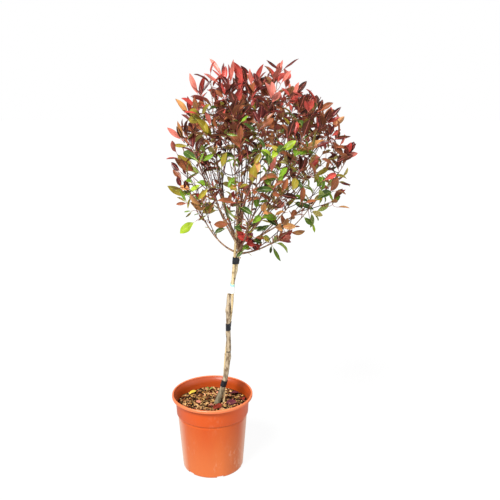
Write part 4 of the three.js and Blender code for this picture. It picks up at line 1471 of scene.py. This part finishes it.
def add_cane():
    def radius_at(share, bearing):
        height = CANE_POINTS[round(share * CANE_STEPS)].z
        joint = CANE_JOINT["rise"] * swell(height, CANE_JOINTS, CANE_JOINT)
        groove = CANE_GROOVE["depth"] * swell(height, CANE_JOINTS, CANE_GROOVE)
        return CANE_RADIUS - CANE_INSET + joint - groove

    batch = Batch()
    rings = limb_rings(CANE_POINTS, CANE_SIDES, radius_at, level=True)
    for radius, over in CANE_END:
        ring = []
        for i in range(CANE_SIDES):
            bearing = 2 * math.pi * i / CANE_SIDES
            off = Vector((radius * math.cos(bearing), radius * math.sin(bearing), over))
            ring.append(CANE_POINTS[-1] + off)
        rings.append(ring)
    add_loft(batch, rings)
    batch.piece("cane_with_joints", [bamboo_skin()], "bamboo", ["bamboo_cane"], sharp=50)


# Ties and label: bands round trunk and cane together
def band_point(level, bearing, margin):
    stems = [
        (point_at_height(TRUNK_POINTS, level), trunk_radius(level, 0) + margin),
        (point_at_height(CANE_POINTS, level), CANE_RADIUS + margin),
    ]
    out = Vector((math.cos(bearing), math.sin(bearing), 0))
    centre, radius = max(stems, key=lambda stem: stem[0].dot(out) + stem[1])
    return centre + out * radius


def band_rings(band, proud_at):
    """Rings from a band's lower inner edge, up its outside, to its upper inner edge"""
    courses = [(-0.5, BAND_INSET)]
    courses += [(i / BAND_LEVELS - 0.5, None) for i in range(BAND_LEVELS + 1)]
    courses += [(0.5, BAND_INSET)]
    middle = point_at_height(TRUNK_POINTS, band["middle"])
    rings = []
    for share, inset in courses:
        level = band["middle"] + share * band["height"]
        ring = []
        for i in range(BAND_POINTS):
            bearing = 2 * math.pi * i / BAND_POINTS
            margin = inset if inset is not None else proud_at(share, bearing) + band["margin"]
            point = band_point(level, bearing, margin)
            ring.append(point + UP * (band["slope"] * (point.x - middle.x) / SLOPE_SPAN))
        rings.append(ring)
    return rings


def crease_at(crease, share, bearing, phase):
    """How far a crease stands out at a share of a band's height and a bearing"""
    x = crease["round"] * math.cos(bearing)
    y = crease["round"] * math.sin(bearing)
    return crease["depth"] * noise.noise(Vector((x, y, crease["up"] * share + phase)))


def add_ties():
    """Tape wound in overlapping turns, so that each turn's edge stands a little proud"""
    tape = thin_sheet("black_tape")
    for tie in TIES:

        def proud_at(share, bearing, phase=tie["middle"]):
            wound = TAPE_TURNS * (share + 0.5) + bearing / (2 * math.pi)
            overlap = TAPE_STEP * (1 - (wound % 1))
            return overlap + crease_at(TAPE_CREASE, share, bearing, phase)

        batch = Batch()
        add_loft(batch, band_rings(tie, proud_at), capped=False)
        batch.piece(tie["name"] + "_tape", [tape], "black_tape", [tie["name"]], sharp=40)


def tail_rings():
    """The label's two ends stuck together, from inside the band outwards to the left"""
    middle = LABEL["middle"]
    around = [math.radians(bearing) for bearing in range(0, 360, TAIL_SEARCH)]
    left = min((band_point(middle, bearing, LABEL["margin"]) for bearing in around), key=lambda p: p.x)
    rings = []
    for i in range(TAIL_STEPS + 1):
        share = i / TAIL_STEPS
        x = left.x + TAIL["sunk"] - (TAIL["length"] + TAIL["sunk"]) * share
        y = left.y + TAIL["swing"] * math.sin(TAIL["half_waves"] * math.pi * share) * share
        edge = LABEL["height"] / 2 - TAIL["narrows"] * share * share
        thick = TAIL["thick"] / 2
        corners = ((-thick, -edge), (-thick, edge), (thick, edge), (thick, -edge))
        rings.append([Vector((x, y + off, middle + rise)) for off, rise in corners])
    return rings


def add_label():
    """A strip of film wrapped round the stems, with a stripe along its top and a tail"""

    def proud_at(share, bearing):
        return crease_at(LABEL_CREASE, share, bearing, 0)

    batch = Batch()
    add_loft(batch, band_rings(LABEL, proud_at), capped=False)
    stripe = 1 - LABEL_STRIPE / LABEL["height"]
    courses = [n // BAND_POINTS for n in range(len(batch.faces))]
    batch.slots = [int((course - 1) / BAND_LEVELS > stripe) for course in courses]
    add_loft(batch, tail_rings())
    looks = [thin_sheet("white_film"), thin_sheet("mint_film")]
    batch.piece("label_film", looks, "white_film", ["stem_label"], sharp=40)


# What the camera sees at a pixel of the photo, and where it sees a place
FOCAL = PHOTO_SIZE * CAMERA_LENS / SENSOR_WIDTH
CAMERA_SPOT = Vector(CAMERA_PLACE) / MM
CAMERA_AHEAD = Vector((0, math.sin(math.radians(CAMERA_TILT)), -math.cos(math.radians(CAMERA_TILT))))
CAMERA_UP = Vector((0, -CAMERA_AHEAD.z, CAMERA_AHEAD.y))


def photo_place(across, down, front):
    """The place at a pixel of the photo, some way in front of the trunk's plane"""
    side = (across - PHOTO_SIZE / 2) / FOCAL
    rise = (PHOTO_SIZE / 2 - down) / FOCAL
    ray = CAMERA_AHEAD + Vector((side, 0, 0)) + CAMERA_UP * rise
    return CAMERA_SPOT + ray * ((-front - CAMERA_SPOT.y) / ray.y)


def photo_pixel(place):
    off = place - CAMERA_SPOT
    scale = FOCAL / off.dot(CAMERA_AHEAD)
    return PHOTO_SIZE / 2 + off.x * scale, PHOTO_SIZE / 2 - off.dot(CAMERA_UP) * scale


# Crown
def crown_share(place, power=CROWN_POWER):
    """How far out a place is: 0 at the crown's middle and 1 on its surface"""
    off = place - CROWN_CENTRE
    level = math.hypot(off.x / CROWN_RADII.x, off.y / CROWN_RADII.y)
    high = abs(off.z / CROWN_RADII.z)
    return (level**power + high**power) ** (1 / power)


def crown_place(index, count, lowest, first_bearing, reach):
    """Place number index of count, spread evenly from the crown's top down to its lowest rise"""
    low = (index + 0.5) / count
    sine = 1 - low * (1 - math.sin(math.radians(lowest)))
    cosine = math.sqrt(1 - sine * sine)
    bearing = math.radians(first_bearing) + index * GOLDEN_ANGLE
    out = Vector((cosine * math.cos(bearing), cosine * math.sin(bearing), sine)) * CROWN_RADII
    return CROWN_CENTRE + out * (reach / crown_share(out + CROWN_CENTRE))


def past_cane(bearing):
    """A bearing turned aside where it would run into the cane"""
    off = (bearing - CANE_BEARING + 540) % 360 - 180
    return CANE_BEARING + math.copysign(CANE_CLEAR, off) if abs(off) < CANE_CLEAR else bearing


def whip(index):
    """A whip from the trunk's head to the crown: a bare bough, then the stem of its foliage"""
    low = (index + 0.5) / WHIPS
    extra = STANDOUT.get(index, 0)
    tip = crown_place(index, WHIPS, LOWEST_WHIP, FIRST_BEARING, WHIP_REACH + extra)
    leader = index == 0
    foot = TRUNK_POINTS[-1] if leader else point_at_height(TRUNK_POINTS, HEAD_TOP - low * HEAD_DEPTH)
    outward = math.degrees(math.atan2(tip.y - foot.y, tip.x - foot.x))
    launch = UP if leader else tilted(past_cane(outward), between(LAUNCH_TILT, low * low))
    finish = tilted(outward, between(FINISH_TILT, low))
    length = (tip - foot).length
    controls = [foot, foot + launch * WHIP_PULL[0] * length, tip - finish * WHIP_PULL[1] * length, tip]
    if leader:
        return Whip(index, extra, None, samples(controls, 0, 1, BOUGH_STEPS + STEM_STEPS))
    bough = samples(controls, 0, JOINT_SHARE, BOUGH_STEPS)
    return Whip(index, extra, bough, samples(controls, JOINT_SHARE, 1, STEM_STEPS))


def basal_whip(sizes, order):
    """A short whip low on the head, whose foliage starts at the trunk"""
    start = point_at_height(TRUNK_POINTS, sizes["foot"])
    middle = start + tilted(sizes["bearing"], sizes["tilt"]) * sizes["length"] / 2
    end = middle + tilted(sizes["bearing"], sizes["finish"]) * sizes["length"] / 2
    return Whip(WHIPS + order, BASAL_EXTRA, None, samples([start, middle, end], 0, 1, STEM_STEPS))


CROWN = [whip(index) for index in range(WHIPS)]
CROWN += [basal_whip(sizes, order) for order, sizes in enumerate(BASAL_WHIPS)]


def tree_of(paths):
    """A search tree over points on several paths, and the number of the path of each"""
    owned = [(p, owner) for owner, points in enumerate(paths) for p in points]
    tree = kdtree.KDTree(len(owned))
    for i, (p, _) in enumerate(owned):
        tree.insert(p, i)
    tree.balance()
    return tree, [owner for _, owner in owned]


STEM_TREE, STEM_OWNERS = tree_of([w.stem for w in CROWN])
HIGH_LIMBS = [TRUNK_POINTS, CANE_POINTS] + [w.bough for w in CROWN if w.bough]
LIMB_TREE, _ = tree_of([[p for p in points if p.z > FOLIAGE_FLOOR] for points in HIGH_LIMBS])


def in_own_space(point, owner, limit):
    if crown_share(point) > limit + owner.extra:
        return False
    return STEM_OWNERS[STEM_TREE.find(point)[1]] == CROWN.index(owner)


def clear_of_limbs(points, room):
    return all(LIMB_TREE.find(p)[2] > room for p in points)


def nearest_on(points, place):
    return min((p - place).length for p in points)


def shoot_places():
    """The places where shoots end, given to the whip whose stem is nearest"""
    random = seeded(CROWN_SEED)
    places = []
    for shell in SHELLS:
        for i in range(shell["shoots"]):
            scatter = 1 + SHOOT_SCATTER * (random() - 0.5)
            reach = shell["reach"] * scatter
            place = crown_place(i, shell["shoots"], shell["lowest"], shell["first_bearing"], reach)
            nearness = [nearest_on(w.stem, place) for w in CROWN]
            if min(nearness) < NEAREST_SHOOT:
                continue
            places.append((place, shell["leaves"], nearness.index(min(nearness))))
    return places


def shoot(owner, place, random):
    """A side twig from its stem to a place in the crown, with about its own length between"""
    wanted = between(SHOOT_LENGTH, random())
    starts = [
        point_along(owner.stem, between(SHOOT_START_RANGE, i / (SHOOT_STARTS - 1)))
        for i in range(SHOOT_STARTS)
    ]
    start = min(starts, key=lambda p: abs((p - place).length - wanted))
    length = (place - start).length
    finish = ((place - CROWN_CENTRE).normalized() + UP * SHOOT_LIFT).normalized()
    points = [start]
    for onward in samples([start, place - finish * length / 2, place], 0, 1, SHOOT_STEPS)[1:]:
        if not in_own_space(onward, owner, 1) or not clear_of_limbs([onward], LIMB_ROOM / 2):
            break
        points.append(onward)
    return points


def rod(index, random):
    """A long side stem, from low on a bough to a place between the whips, and its owner"""
    reach = between(ROD_REACH, random())
    place = crown_place(index, RODS, LOWEST_ROD, FIRST_ROD_BEARING, reach)
    nearness = [nearest_on(w.stem, place) for w in CROWN]
    owner = CROWN[nearness.index(min(nearness))]
    limb = (owner.bough or []) + owner.stem
    at = between(ROD_START, random()) * JOINT_SHARE * (len(limb) - 1)
    start = limb[int(at)]
    along = (limb[int(at) + 1] - start).normalized()
    length = (place - start).length
    launch = (along + (place - start).normalized() * ROD_SPREAD).normalized()
    finish = ((place - CROWN_CENTRE).normalized() + UP * ROD_LIFT).normalized()
    controls = [start, start + launch * ROD_PULL[0] * length, place - finish * ROD_PULL[1] * length, place]
    return owner, samples(controls, 0, 1, ROD_STEPS)


def side_twig(points, share, bearing, random):
    """A finer twig that leaves a shoot at a share of its length and turns up"""
    frames = path_frames(points)
    at = frames[min(int(share * len(frames)), len(frames) - 1)]
    start = point_along(points, share)
    launch = leaning(at, bearing, between(TWIG_LEAN, random()))
    length = between(TWIG_LENGTH, random())
    finish = (launch + UP * TWIG_LIFT).normalized()
    end = start + (launch + finish).normalized() * length
    return samples([start, start + launch * length / 2, end], 0, 1, TWIG_STEPS)


# Leaves
SHARES = np.linspace(0, 1, LEAF_STATIONS + 1)


def blade_width(share):
    """A blade's half width at a share of its length, 1 at its widest, drawn out to a point"""
    rise = LEAF_FULLNESS
    fall = rise * (1 - LEAF_WIDEST) / LEAF_WIDEST
    peak = LEAF_WIDEST**rise * (1 - LEAF_WIDEST) ** fall
    return share**rise * (1 - share) ** fall / peak


WIDTHS = blade_width(SHARES)


def blade_faces():
    """Faces of a blade: a foot point, rows of points across it, and a tip point"""
    across = len(LEAF_COLUMNS)
    rows = LEAF_STATIONS - 1
    last = 1 + (rows - 1) * across
    faces = []
    for k in range(across - 1):
        faces.append((0, 2 + k, 1 + k))
        faces.append((last + k, last + k + 1, 1 + rows * across))
        for r in range(rows - 1):
            a = 1 + r * across + k
            faces.append((a, a + 1, a + across + 1, a + across))
    return faces


def rib_faces():
    """Faces of a rib's three sides and its far end"""
    end = 3 * RIB_RINGS
    return ring_faces(RIB_RINGS, 3) + [(end - 3, end - 2, end - 1)]


BLADE_FACES = blade_faces()
RIB_FACES = rib_faces()
Shape = namedtuple("Shape", "width fold bend twist wave")


def leaf_shape(random, young):
    """How a leaf is folded along its rib, bent back, twisted and waved at its rim"""
    fold = between(LEAF_FOLD, random())
    bend = between(YOUNG_BEND if young else GROWN_BEND, random())
    return Shape(
        between(LEAF_WIDTH, random()),
        math.radians(fold),
        math.radians(bend) + LEAST_BEND,
        math.radians(between(LEAF_TWIST, random())),
        between(LEAF_WAVE, random()),
    )


def leaf_spine(root, direction, face, length, shape, shares):
    """Points along a leaf from its petiole's foot, with the directions across and up there"""
    angle = shape.bend * shares
    along = length * np.sin(angle) / shape.bend
    drop = -length * (1 - np.cos(angle)) / shape.bend
    ahead = np.array(direction)
    above = np.array(face)
    spine = np.array(root) + np.outer(along, ahead) + np.outer(drop, above)
    normal = np.outer(np.sin(angle), ahead) + np.outer(np.cos(angle), above)
    level = np.array(direction.cross(face))
    turn = (shape.twist * shares)[:, None]
    across = np.cos(turn) * level + np.sin(turn) * normal
    upright = np.cos(turn) * normal - np.sin(turn) * level
    return spine, across, upright


def leaf_meshes(root, direction, face, length, shape):
    """A leaf's blade and rib as points: the rib runs from the twig through the petiole"""
    shares = PETIOLE + (1 - PETIOLE) * SHARES
    spine, across, upright = leaf_spine(root, direction, face, length, shape, shares)
    half = shape.width * length / 2 * WIDTHS
    ripple = shape.wave * half * np.sin(LEAF_HALF_WAVES * math.pi * SHARES)
    rows = []
    for column in LEAF_COLUMNS:
        out = (column * half * math.cos(shape.fold))[:, None] * across
        cupped = abs(column) ** LEAF_CUP * half * math.sin(shape.fold) + column * column * ripple
        rows.append(spine + out + cupped[:, None] * upright)
    grid = np.stack(rows, axis=1)[1:-1].reshape(-1, 3)
    blade = [spine[0].tolist(), *grid.tolist(), spine[-1].tolist()]
    along = np.linspace(0, RIB_LENGTH, RIB_RINGS)
    spine, across, upright = leaf_spine(root, direction, face, length, shape, along)
    thick = (RIB_RADIUS * (RIB_TAPER - along))[:, None]
    top = spine + upright * RIB_RISE
    corners = [top + across * thick, top - across * thick, spine - upright * thick * RIB_KEEL]
    return blade, np.stack(corners, axis=1).reshape(-1, 3).tolist()


# Leaves of each tint, and the middles of all the leaves, in cells of space
LEAVES = {name: Batch() for name in TINTS}
LEAF_CELLS = {}


def cell_of(place):
    return tuple(int(c // LEAF_APART) for c in place)


def has_room(place):
    x, y, z = cell_of(place)
    for i in (-1, 0, 1):
        for j in (-1, 0, 1):
            for k in (-1, 0, 1):
                for other in LEAF_CELLS.get((x + i, y + j, z + k), ()):
                    if (other - place).length < LEAF_APART:
                        return False
    return True


def add_leaf(tint, root, direction, face, length, shape):
    blade, rib = leaf_meshes(root, direction, face, length, shape)
    LEAVES[tint].add(blade, BLADE_FACES)
    LEAVES[tint].add(rib, RIB_FACES, 1)


def fullness(place):
    """The share of twigs and leaves kept at a place: the crown is open low down"""
    for (low, less), (high, more) in zip(FULLNESS, FULLNESS[1:]):
        if place.z < high:
            return between((less, more), max(0, (place.z - low) / (high - low)))
    return FULLNESS[-1][1]


def openness(place):
    """The share of leaves kept where the photo shows white through the crown"""
    across, down = photo_pixel(place)
    kept = 1
    for opening in OPENINGS:
        off_across = (across - opening.pixel[0]) / opening.size[0]
        off_down = (down - opening.pixel[1]) / opening.size[1]
        kept *= between((opening.kept, 1), smooth(math.hypot(off_across, off_down)))
    return kept


def boxed(tip, shoulder=RIGHT_SHOULDER):
    """Whether a leaf's tip stays in the box of the solids, and under the crown's right shoulder"""
    low, high = CAD_BOX
    off = tip - CROWN_CENTRE
    inside = all(low[i] / MM - BOX_MARGIN < tip[i] < high[i] / MM + BOX_MARGIN for i in range(3))
    return inside and off.x / CROWN_RADII.x + off.z / CROWN_RADII.z < shoulder


def zone_tints(place, random):
    """The young and the grown tint of a spray at a place"""
    aside = abs(place.x - CROWN_CENTRE.x) / CROWN_RADII.x
    flank = smooth((aside - FLANK[0]) / (FLANK[1] - FLANK[0]))
    height = place.z + ZONE_BLUR * (random() - 0.5) + FLANK_LIFT * flank
    zone = next(zone for zone in ZONES if height >= zone.lowest)
    return picked(zone.young, random()), picked(zone.grown, random())


def leaf_fits(owner, habit, middle, tip, spared):
    """Whether a leaf is inside the crown, has room, and is not one of those thinned out"""
    inside = boxed(tip) and crown_share(tip, habit.power) < habit.reach + owner.extra
    if not inside or not has_room(middle) or spared > openness(middle):
        return False
    return clear_of_limbs([middle, tip], LIMB_ROOM)


def grow_leaves(owner, points, count, random, kind):
    """Leaves in a spiral along a twig, closest together and most upright at its tip"""
    habit = HABITS[kind]
    frames = path_frames(points)
    first_bearing = 2 * math.pi * random()
    young_tint, grown_tint = zone_tints(points[-1], random)
    count = max(2, round(count * fullness(points[-1])))
    for i in range(count):
        share = i / count
        young = share < YOUNG_SHARE
        back = between((0, 1 - habit.bare), share**LEAF_CROWDING)
        root = point_along(points, 1 - back)
        at = frames[math.ceil((1 - back) * (len(points) - 1))]
        length = between(habit.length, random()) * between((YOUNG_LEAF, 1), smooth(2 * share))
        spread = between(habit.lean, min(1, (i + random()) / count))
        shape = leaf_shape(random, young)
        tint = young_tint if young else grown_tint
        if random() < STRAY_TINT:
            tint = zone_tints(root, random)[0 if young else 1]
        spared = random()
        for attempt in range(LEAF_TRIES):
            bearing = first_bearing + i * GOLDEN_ANGLE + attempt * LEAF_RETRY_TURN
            direction = leaning(at, bearing, spread)
            middle = root + direction * length * LEAF_MIDDLE
            if leaf_fits(owner, habit, middle, root + direction * length, spared):
                LEAF_CELLS.setdefault(cell_of(middle), []).append(middle)
                add_leaf(tint, root, direction, square_to(direction, at.along), length, shape)
                break


def grow_leaflets(points, random):
    """Small leaves close along a stem"""
    frames = path_frames(points)
    for i in range(LEAFLETS):
        at = frames[min(int((i + random()) / LEAFLETS * len(frames)), len(frames) - 1)]
        direction = leaning(at, 2 * math.pi * random(), between(LEAFLET_SPREAD, random()))
        length = between(LEAFLET_LENGTH, random())
        tint = zone_tints(at.point, random)[0]
        shape = leaf_shape(random, True)
        if random() < openness(at.point) and clear_of_limbs([at.point + direction * length], LIMB_ROOM):
            add_leaf(tint, at.point, direction, square_to(direction, at.along), length, shape)


def given(value, otherwise):
    return otherwise if value is None else value


def grow_spray(batch, spray, paths, random):
    """A twig from the nearest stem to a place in the photo, with leaves to the tips seen there"""
    end = photo_place(*spray.end, spray.front)
    tips = [photo_place(across, down, spray.front) for _, across, down in spray.tips]
    aim = sum((tip - end for tip in tips), Vector()).normalized()
    near = [p for points in paths for p in points if (p - end).length > SPRAY_LEAST]
    start = min(near, key=lambda p: (p - end).length)
    middle = end - aim * (end - start).length * SPRAY_PULL
    points = samples([start, middle, end], 0, 1, SHOOT_STEPS)
    add_twig(batch, points, TWIG_RADII, SHOOT_SIDES)
    for i, (tint, _, _) in enumerate(spray.tips):
        root = point_along(points, 1 - SPRAY_STEP * i)
        depth = (random() - 0.5) * 2 * SPRAY_DEPTH * (tips[i] - root).length
        blade = (tips[i] + Vector((0, depth, 0)) - root) * SPRAY_TIP
        direction = blade.normalized()
        flat = square_to(direction, TO_CAMERA)
        turn = math.radians(given(spray.turn, between(SPRAY_TURN, random())))
        face = flat * math.cos(turn) + direction.cross(flat) * math.sin(turn)
        shape = leaf_shape(random, True)
        width = given(spray.width, between(SPRAY_WIDTH, random()))
        shape = shape._replace(width=width, bend=between(SPRAY_BEND, random()))
        if boxed(root + blade, SPRAY_SHOULDER):
            add_leaf(tint, root, direction, face, blade.length, shape)


def add_fallen():
    """Leaves that have dropped on the compost, and a small green sprout"""
    random = seeded(CHIP_SEED + 2)
    tints = list(FALLEN_TINTS)
    batch = Batch()
    for leaf in FALLEN:
        x, y = leaf.foot
        root = Vector((x, y, compost_top(x, y) + FALLEN_LIFT))
        direction = tilted(leaf.bearing, leaf.tilt)
        side = direction.cross(UP).normalized()
        face = side.cross(direction).normalized()
        shape = leaf_shape(random, True)._replace(width=leaf.width, bend=FALLEN_BEND)
        blade, rib = leaf_meshes(root, direction, face, leaf.length, shape)
        batch.add(blade, BLADE_FACES, tints.index(leaf.tint))
        batch.add(rib, RIB_FACES, len(tints))
    looks = [leaf_material("fallen_" + tint, *FALLEN_TINTS[tint]) for tint in tints]
    batch.piece("fallen_leaves", looks + [woody("fallen_rib")], "foliage")


# Boughs, stems and twigs
def add_bough(batch, points, radii, rooted, number):
    """A limb with bark relief, swollen at its foot where it is rooted in the trunk"""
    length = (points[-1] - points[0]).length

    def radius_at(share, bearing):
        collar = 1 + (COLLAR_SWELL - 1) * math.exp(-share / COLLAR_LENGTH) * rooted
        height = length * share + BOUGH_RELIEF["apart"] * number
        relief = bark_relief(bearing, height, BOUGH_RELIEF["ridges"])
        return between(radii, share) * collar + BOUGH_RELIEF["share"] * relief

    add_loft(batch, limb_rings(points, BOUGH_SIDES, radius_at))


def add_twig(batch, points, radii, sides):
    """A smooth thin limb with small swellings at its buds"""

    def radius_at(share, bearing):
        wave = math.sin(TWIG_BUD["waves"] * math.pi * share * len(points))
        return between(radii, share) * (1 + TWIG_BUD["rise"] * wave ** TWIG_BUD["sharpness"])

    add_loft(batch, limb_rings(points, sides, radius_at))


def grow_twigs(batch, owner, points, count, random):
    """Finer side twigs along a shoot, a rod or a stem, each with its leaves"""
    for i in range(count):
        share = between(TWIG_RANGE, (i + random()) / count)
        twig = side_twig(points, share, i * GOLDEN_ANGLE + random(), random)
        inside = crown_share(twig[-1], BODY_POWER) < TWIG_REACH
        kept = random() < fullness(twig[-1]) * openness(twig[-1]) and inside
        if kept and clear_of_limbs(twig[1:], LIMB_ROOM / 2):
            add_twig(batch, twig, TWIG_RADII, TWIG_SIDES)
            grow_leaves(owner, twig, TWIG_LEAVES, random, "fine")


def grow_whip(number, owner, places, limbs):
    """A whip with its shoots, finer twigs and leaves, and the paths that sprays may leave"""
    radii = STEM_RADII if owner.index else (LEADER_RADIUS, STEM_RADII[1])
    if owner.bough:
        add_bough(limbs["boughs"], owner.bough, BOUGH_RADII, True, number)
    add_bough(limbs["boughs"], owner.stem, radii, not owner.bough, number + STEM_SHIFT)
    random = seeded(100 * CROWN_SEED + owner.index)
    fine = seeded(TWIG_SEED + owner.index)
    twigs = []
    for place, leaves, owned_by in places:
        if owned_by == number:
            points = shoot(owner, place, random)
            if len(points) >= LEAST_SHOOT_POINTS:
                twigs.append((points, leaves))
    middle = STEM_STEPS // 2
    grow_leaves(owner, owner.stem[middle:], TIP_LEAVES, fine, "tip")
    grow_leaflets(owner.stem[:middle], fine)
    for points, leaves in twigs:
        add_twig(limbs["older"], points, SHOOT_RADII, SHOOT_SIDES)
        grow_leaves(owner, points, leaves, fine, "shoot")
    for points, _ in twigs:
        grow_twigs(limbs["younger"], owner, points, SHOOT_TWIGS, fine)
    grow_twigs(limbs["younger"], owner, owner.stem, STEM_TWIGS, fine)
    return [owner.stem] + [points for points, _ in twigs]


def grow_rods(limbs):
    """The rods with their twigs and leaves, and their paths"""
    random = seeded(TWIG_SEED)
    paths = []
    for index in range(RODS):
        owner, points = rod(index, random)
        add_twig(limbs["older"], points, ROD_RADII, SHOOT_SIDES)
        grow_leaves(owner, points[ROD_BARE_STEPS:], ROD_LEAVES, random, "fine")
        grow_leaflets(points, random)
        grow_twigs(limbs["younger"], owner, points, ROD_TWIGS, random)
        paths.append(points)
    return paths


def grow_crown():
    """Boughs, twigs of two ages and all the leaves, from the source's rule and a finer one"""
    limbs = {"boughs": Batch(), "older": Batch(), "younger": Batch()}
    places = shoot_places()
    paths = []
    for number, owner in enumerate(CROWN):
        paths += grow_whip(number, owner, places, limbs)
    paths += grow_rods(limbs)
    random = seeded(TWIG_SEED + RODS)
    for spray in SPRAYS:
        grow_spray(limbs["younger"], spray, paths, random)
    return limbs


def add_crown():
    limbs = grow_crown()
    boughs = ["bough_%02d" % w.index for w in CROWN if w.bough]
    foliage = ["foliage_%02d" % w.index for w in CROWN]
    limbs["boughs"].piece("boughs_and_stems", [woody("bough_bark")], "twig_bark", boughs + foliage)
    limbs["older"].piece("older_twigs", [woody("older_twig_bark")], "twig_bark", foliage)
    limbs["younger"].piece("younger_twigs", [woody("younger_twig_bark")], "twig_bark", foliage)
    ribs = {rib: woody(rib + "_rib") for rib in ("rose", "straw")}
    for name, (upper, under, rib) in TINTS.items():
        looks = [leaf_material(name, upper, under), ribs[rib]]
        LEAVES[name].piece("leaves_" + name, looks, "foliage", foliage)


# Studio
def add_camera():
    data = bpy.data.cameras.new("photo_camera")
    data.lens = CAMERA_LENS
    data.sensor_width = SENSOR_WIDTH
    camera = bpy.data.objects.new("photo_camera", data)
    camera.location = CAMERA_PLACE
    camera.rotation_euler = (math.radians(CAMERA_TILT), 0, 0)
    bpy.context.scene.collection.objects.link(camera)
    bpy.context.scene.camera = camera


def add_floor():
    half = FLOOR_SIZE / 2
    corners = [(-half, -half, 0), (half, -half, 0), (half, half, 0), (-half, half, 0)]
    mesh = bpy.data.meshes.new("studio_floor")
    mesh.from_pydata(corners, [], [(0, 1, 2, 3)])
    floor = bpy.data.objects.new("studio_floor", mesh)
    bpy.context.scene.collection.objects.link(floor)
    material, graph, shader = new_material("floor_paper")
    graph.feed(shader.inputs["Base Color"], mottled(graph, FLOOR_TONE, FLOOR_FIBRE, FLOOR_PATCHES))
    set_finish(shader, **FLOOR_FINISH)
    shader.inputs["Emission Color"].default_value = (1, 1, 1, 1)
    seen = graph.add("ShaderNodeLightPath").outputs["Is Camera Ray"]
    glow = graph.add("ShaderNodeMapRange", {"Value": seen, "To Min": FLOOR_GLOW, "To Max": FLOOR_LIFT})
    graph.feed(shader.inputs["Emission Strength"], glow.outputs[0])
    mesh.materials.append(material)


def add_sun(name, sizes):
    data = bpy.data.lights.new(name, "SUN")
    data.energy = sizes["strength"]
    data.angle = math.radians(sizes["spread"])
    sun = bpy.data.objects.new(name, data)
    sun.rotation_euler = [math.radians(turn) for turn in sizes["turn"]]
    bpy.context.scene.collection.objects.link(sun)


def add_sky():
    """White all round for the camera, and a softer white as light"""
    world = bpy.data.worlds.new("studio")
    bpy.context.scene.world = world
    world.use_nodes = True
    graph = Graph(world.node_tree)
    background = world.node_tree.nodes["Background"]
    seen = graph.add("ShaderNodeLightPath").outputs["Is Camera Ray"]
    strength = graph.add("ShaderNodeMapRange", {"Value": seen, "To Min": SKY_STRENGTH, "To Max": 1.0})
    graph.feed(background.inputs["Color"], (1, 1, 1, 1))
    graph.feed(background.inputs["Strength"], strength.outputs[0])


def add_studio():
    add_camera()
    add_floor()
    add_sun("key_light", KEY_SUN)
    add_sun("fill_light", FILL_SUN)
    add_sky()
    bpy.context.scene.view_settings.view_transform = "Standard"
    bpy.context.scene.view_settings.look = "None"


add_studio()
add_pot()
add_compost()
add_chips()
add_sticks()
add_trunk()
add_cane()
add_ties()
add_label()
add_fallen()
add_crown()
